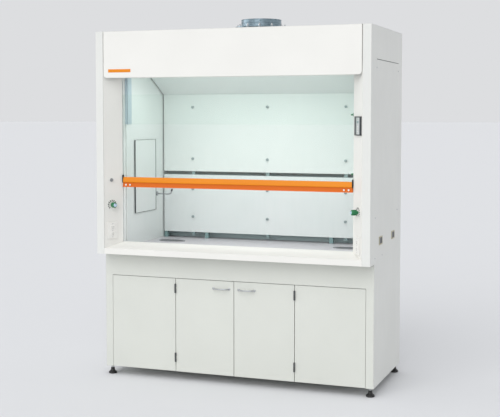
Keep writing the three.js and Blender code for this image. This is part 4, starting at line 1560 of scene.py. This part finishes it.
@dataclass
class Sash(SubAssembly):
    """Vertical sash: rail screws, cables over their pulleys and the counterweights' ferrules."""

    screw_places: tuple[float, ...] = (713, 742)
    cable_radius: float = 2.0

    def build(self) -> None:
        """Build every piece of the sash."""
        self.ease(["sash_rail"], Coat.ORANGE, "lower_sash")
        self.ease(["sash_runner_left", "sash_runner_right"], Coat.BLACK_NYLON, "lower_sash", 0.4)
        self.ease(["upper_sash_frame"], Coat.ANODISED, "upper_sash", 0.5)
        self.rail_screws()
        for side in Side:
            self.refine(f"pulley_{side.word}", Coat.STEEL, f"pulley_{side.word}", 30)
            self.cable(side)
            self.ferrule(side)

    def rail_screws(self) -> None:
        """White-capped screws at both ends of the rail's lower strip."""
        low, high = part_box("sash_rail")
        front = low.y + 3 * MM
        height = low.z + 14 * MM
        places = [
            Bench.facing(Vector((sign * x * MM, front, height)), Vector((0, -1, 0)))
            for sign in (-1, 1)
            for x in self.screw_places
        ]
        self.scatter("rail_screws", Bench.pan_screw(6.0), places, Coat.WHITE_SCREW, "lower_sash")

    def cable(self, side: Side) -> None:
        """Cable in three lengths: sash run, half turn over the pulley and counterweight run.

        Args:
            side: Which cable.
        """
        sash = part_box(f"sash_runner_{side.word}")[1].z
        weight_low, weight_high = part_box(f"counterweight_{side.word}")
        pulley_low, pulley_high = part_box(f"pulley_{side.word}")
        axle = (pulley_low + pulley_high) / 2
        outer_x = (weight_low.x + weight_high.x) / 2
        radius = abs(outer_x - axle.x)
        inner_x = axle.x - side.value * radius
        turn = self.half_turn(axle, radius)
        turn.name = f"cable_turn_{side.word}"
        self.fit(turn, Coat.CABLE, "root", (f"sash_cable_{side.word}",))
        for name, x, low_end, body in (
            ("sash", inner_x, sash, "lower_sash"),
            ("weight", outer_x, weight_high.z, f"counterweight_{side.word}"),
        ):
            top = Vector((x, axle.y, axle.z))
            foot = Vector((x, axle.y, low_end))
            length = (top.z - foot.z) / MM
            run = Bench.turned("run", [(self.cable_radius, 0), (self.cable_radius, length)], 10)
            piece = Bench.copied(run, f"cable_{name}_run_{side.word}", Matrix.Translation(foot))
            Bench.scrap(run)
            Paintshop.dress(piece, Coat.CABLE)
            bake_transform(piece)
            self.enter(piece, Coat.CABLE)

    def half_turn(self, axle: Vector, radius: float) -> bpy.types.Object:
        """Half turn of cable over a pulley.

        Args:
            axle: Middle of the pulley.
            radius: Radius of the cable's path.

        Returns:
            The half turn.
        """
        Bench.clear()
        start = (axle.x + radius, axle.y, axle.z)
        bpy.ops.mesh.primitive_circle_add(
            vertices=10, radius=self.cable_radius * MM, fill_type="NGON", location=start
        )
        piece = bpy.context.object
        Bench.settle()
        bpy.ops.object.mode_set(mode="EDIT")
        bpy.ops.mesh.select_all(action="SELECT")
        bpy.ops.mesh.spin(steps=20, angle=-math.pi, center=tuple(axle), axis=(0, 1, 0))
        bpy.ops.mesh.select_all(action="SELECT")
        bpy.ops.mesh.remove_doubles(threshold=1e-6)
        bpy.ops.mesh.normals_make_consistent(inside=False)
        bpy.ops.object.mode_set(mode="OBJECT")
        bpy.ops.object.shade_smooth_by_angle(angle=math.radians(40))
        return piece

    def ferrule(self, side: Side) -> None:
        """Swaged ferrule between a cable and its counterweight.

        Args:
            side: Which counterweight.
        """
        low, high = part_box(f"counterweight_{side.word}")
        profile = [(6, -1), (6, 8), (4, 10), (4, 24), (3, 26)]
        sleeve = Bench.turned("ferrule", profile, 16)
        place = Matrix.Translation(((low.x + high.x) / 2, (low.y + high.y) / 2, high.z))
        body = f"counterweight_{side.word}"
        self.mount(sleeve, f"cable_ferrule_{side.word}", place, Coat.STEEL, body)


@dataclass
class Cabinet(SubAssembly):
    """Base cabinet: rounded panels and doors, hinge barrels, bow handles and levelling feet."""

    hinge_heights: tuple[float, ...] = (149, 596)
    hinge_from_middle: float = 400 * MM
    hinge_behind_front: float = 108.5 * MM
    hinge_height: float = 55.0
    hinge_radius: float = 5.7
    rosette_radius: float = 8.5

    def build(self) -> None:
        """Build every piece of the cabinet."""
        # The cabinet's darker white is partly painted shade.
        self.ease(["fixed_panel_left", "fixed_panel_right", "cabinet_face_frame"], Coat.CABINET_STEEL)
        for side in Side:
            self.ease([f"door_{side.word}"], Coat.CABINET_STEEL, f"door_{side.word}")
            self.hinges(side)
            self.handle(side)
            for end in ("front", "rear"):
                self.foot(f"foot_{end}_{side.word}")

    def hinges(self, side: Side) -> None:
        """Hinge barrels with three knuckles each.

        Args:
            side: Which door.
        """
        axis_x = side.value * self.hinge_from_middle
        axis_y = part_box(f"corner_column_{side.word}")[0].y + self.hinge_behind_front
        r, half = self.hinge_radius, self.hinge_height / 2
        third = self.hinge_height / 6
        profile = [
            (r - 2.4, -half - 2.5),
            (r, -half - 0.6),
            (r, -third - 0.5),
            (r - 0.9, -third),
            (r, -third + 0.5),
            (r, third - 0.5),
            (r - 0.9, third),
            (r, third + 0.5),
            (r, half + 0.6),
            (r - 2.4, half + 2.5),
        ]
        barrel = Bench.turned("barrel", profile, 24)
        places = [Matrix.Translation((axis_x, axis_y, z * MM)) for z in self.hinge_heights]
        self.scatter(f"hinge_barrels_{side.word}", barrel, places, Coat.DARK_STEEL)

    def handle(self, side: Side) -> None:
        """Bow handle with a round rosette under each end.

        Args:
            side: Which door.
        """
        node = f"door_handle_{side.word}"
        low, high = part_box(node)
        self.refine(node, Coat.STEEL, f"door_{side.word}", 50)
        height = (low.z + high.z) / 2
        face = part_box(f"fixed_panel_{side.word}")[0].y
        r = self.rosette_radius
        rosette = Bench.turned("rosette", [(r, -0.4), (r, 2.2), (r - 1.4, 3.6), (r - 3.2, 4.0)], 28)
        places = [
            Bench.facing(Vector((x, face, height)), Vector((0, -1, 0)))
            for x in (low.x + 5.5 * MM, high.x - 5.5 * MM)
        ]
        self.scatter(f"handle_rosettes_{side.word}", rosette, places, Coat.STEEL, f"door_{side.word}")

    def foot(self, node: str) -> None:
        """Levelling foot with a domed base, and its bright lock nut.

        Args:
            node: Name of the CAD node.
        """
        low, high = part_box(node)
        middle = (low + high) / 2
        radius = (high.x - low.x) / 2 / MM
        profile = [
            (radius - 1.5, 0),
            (radius, 2),
            (radius, 9),
            (radius - 1.6, 11.5),
            (radius - 6, 14.5),
            (17, 18.5),
            (14, 22),
            (12.5, 30),
            (12, 37),
            (9, 38),
            (5, 38.2),
            (5, (high.z - low.z) / MM),
        ]
        foot = Bench.turned("foot", profile, 40)
        place = Matrix.Translation((middle.x, middle.y, low.z))
        self.mount(foot, f"{node}_fine", place, Coat.BLACK_FOOT, "root", (node,))
        nut = Bench.turned("nut", [(8.4, 39), (9.6, 40), (9.6, 46), (8.4, 47)], 6)
        self.mount(nut, f"{node}_nut", place, Coat.STEEL)


@dataclass
class Studio:
    """Plain pale studio: floor, soft light and the camera."""

    lens: float = 76.05
    azimuth: float = 20.116
    pitch: float = 3.501
    position: tuple[float, float, float] = (2.3588, -6.4562, 1.696)
    shift: float = -0.055
    backdrop: str = "DDDEE0"
    ambient: float = 1.0
    floor_size: float = 600.0
    clip_end: float = 800.0
    strip_size: tuple[float, float] = (1.2, 0.12)
    strip_watts: float = 3.8

    def build(self) -> None:
        """Set up the floor, the world, the lamps and the camera."""
        self.floor()
        self.world()
        self.lamps()
        self.camera()

    def floor(self) -> None:
        """Large seamless floor."""
        Bench.clear()
        bpy.ops.mesh.primitive_plane_add(size=self.floor_size, location=(0, 0, -0.0005))
        floor = bpy.context.object
        floor.name = "studio_floor"
        Bench.settle()
        Paintshop.dress(floor, Coat.FLOOR)

    def world(self) -> None:
        """Even pale surroundings."""
        world = bpy.data.worlds.new("studio")
        world.use_nodes = True
        background = world.node_tree.nodes["Background"]
        background.inputs["Color"].default_value = linear(self.backdrop)
        background.inputs["Strength"].default_value = self.ambient
        bpy.context.scene.world = world

    def lamps(self) -> None:
        """Soft key from the front, a weaker light from the left, and the hood's own lamp strip."""
        self.sun("key_light", 1.34, 60, Vector((0.1, 1.0, -0.75)))
        self.sun("side_light", 0.7, 44, Vector((1.0, 0.15, -0.12)))
        low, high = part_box("lamp")
        strip = bpy.data.lights.new("chamber_light", "AREA")
        strip.shape = "RECTANGLE"
        strip.size, strip.size_y = self.strip_size
        strip.energy = self.strip_watts
        lamp = bpy.data.objects.new("chamber_light", strip)
        bpy.context.scene.collection.objects.link(lamp)
        lamp.location = (0, (low.y + high.y) / 2, low.z - 0.02)

    def sun(self, name: str, energy: float, spread: float, direction: Vector) -> None:
        """Broad directional light.

        Args:
            name: Name of the lamp.
            energy: Its strength.
            spread: Its angular size in degrees.
            direction: Way that its light travels.
        """
        light = bpy.data.lights.new(name, "SUN")
        light.energy = energy
        light.angle = math.radians(spread)
        lamp = bpy.data.objects.new(name, light)
        bpy.context.scene.collection.objects.link(lamp)
        lamp.rotation_euler = direction.to_track_quat("-Z", "Y").to_euler()

    def camera(self) -> None:
        """Camera to the right of the hood, a little above its middle."""
        data = bpy.data.cameras.new("camera")
        data.lens = self.lens
        data.shift_y = self.shift
        data.clip_end = self.clip_end
        camera = bpy.data.objects.new("camera", data)
        bpy.context.scene.collection.objects.link(camera)
        camera.location = self.position
        camera.rotation_euler = (math.radians(90 - self.pitch), 0, math.radians(self.azimuth))
        bpy.context.scene.camera = camera
        bpy.context.scene.view_settings.view_transform = "Standard"


def dress_frame(frame: dict) -> None:
    """Give every CAD node the finish that the record names for it.
    """
    for part in frame["record"]["subparts"]:
        Paintshop.dress(frame["nodes"][part["node"]], Coat(part["material_slot"]))
    Paintshop.dress(frame["nodes"]["lamp"], Coat.LAMP)
    # The lower baffle's legs get painted shade.
    Paintshop.dress(frame["nodes"]["baffle_lower"], Coat.FOOTED_LINER)


def main() -> None:
    """Build the hood's looks, in order."""
    logging.basicConfig(level=logging.INFO, format="%(name)s %(message)s")
    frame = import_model()
    SLOTS.update(entry["slot"] for entry in frame["record"]["materials"])
    dress_frame(frame)
    for assembly in (
        Casing(),
        DuctCollar(),
        Jamb(side=Side.LEFT),
        Jamb(side=Side.RIGHT),
        Chamber(),
        Sash(),
        Cabinet(),
    ):
        assembly.build()
        log.info("%s: %d pieces", type(assembly).__name__, len(assembly.pieces))
    Studio().build()


if __name__ == "__main__":
    main()
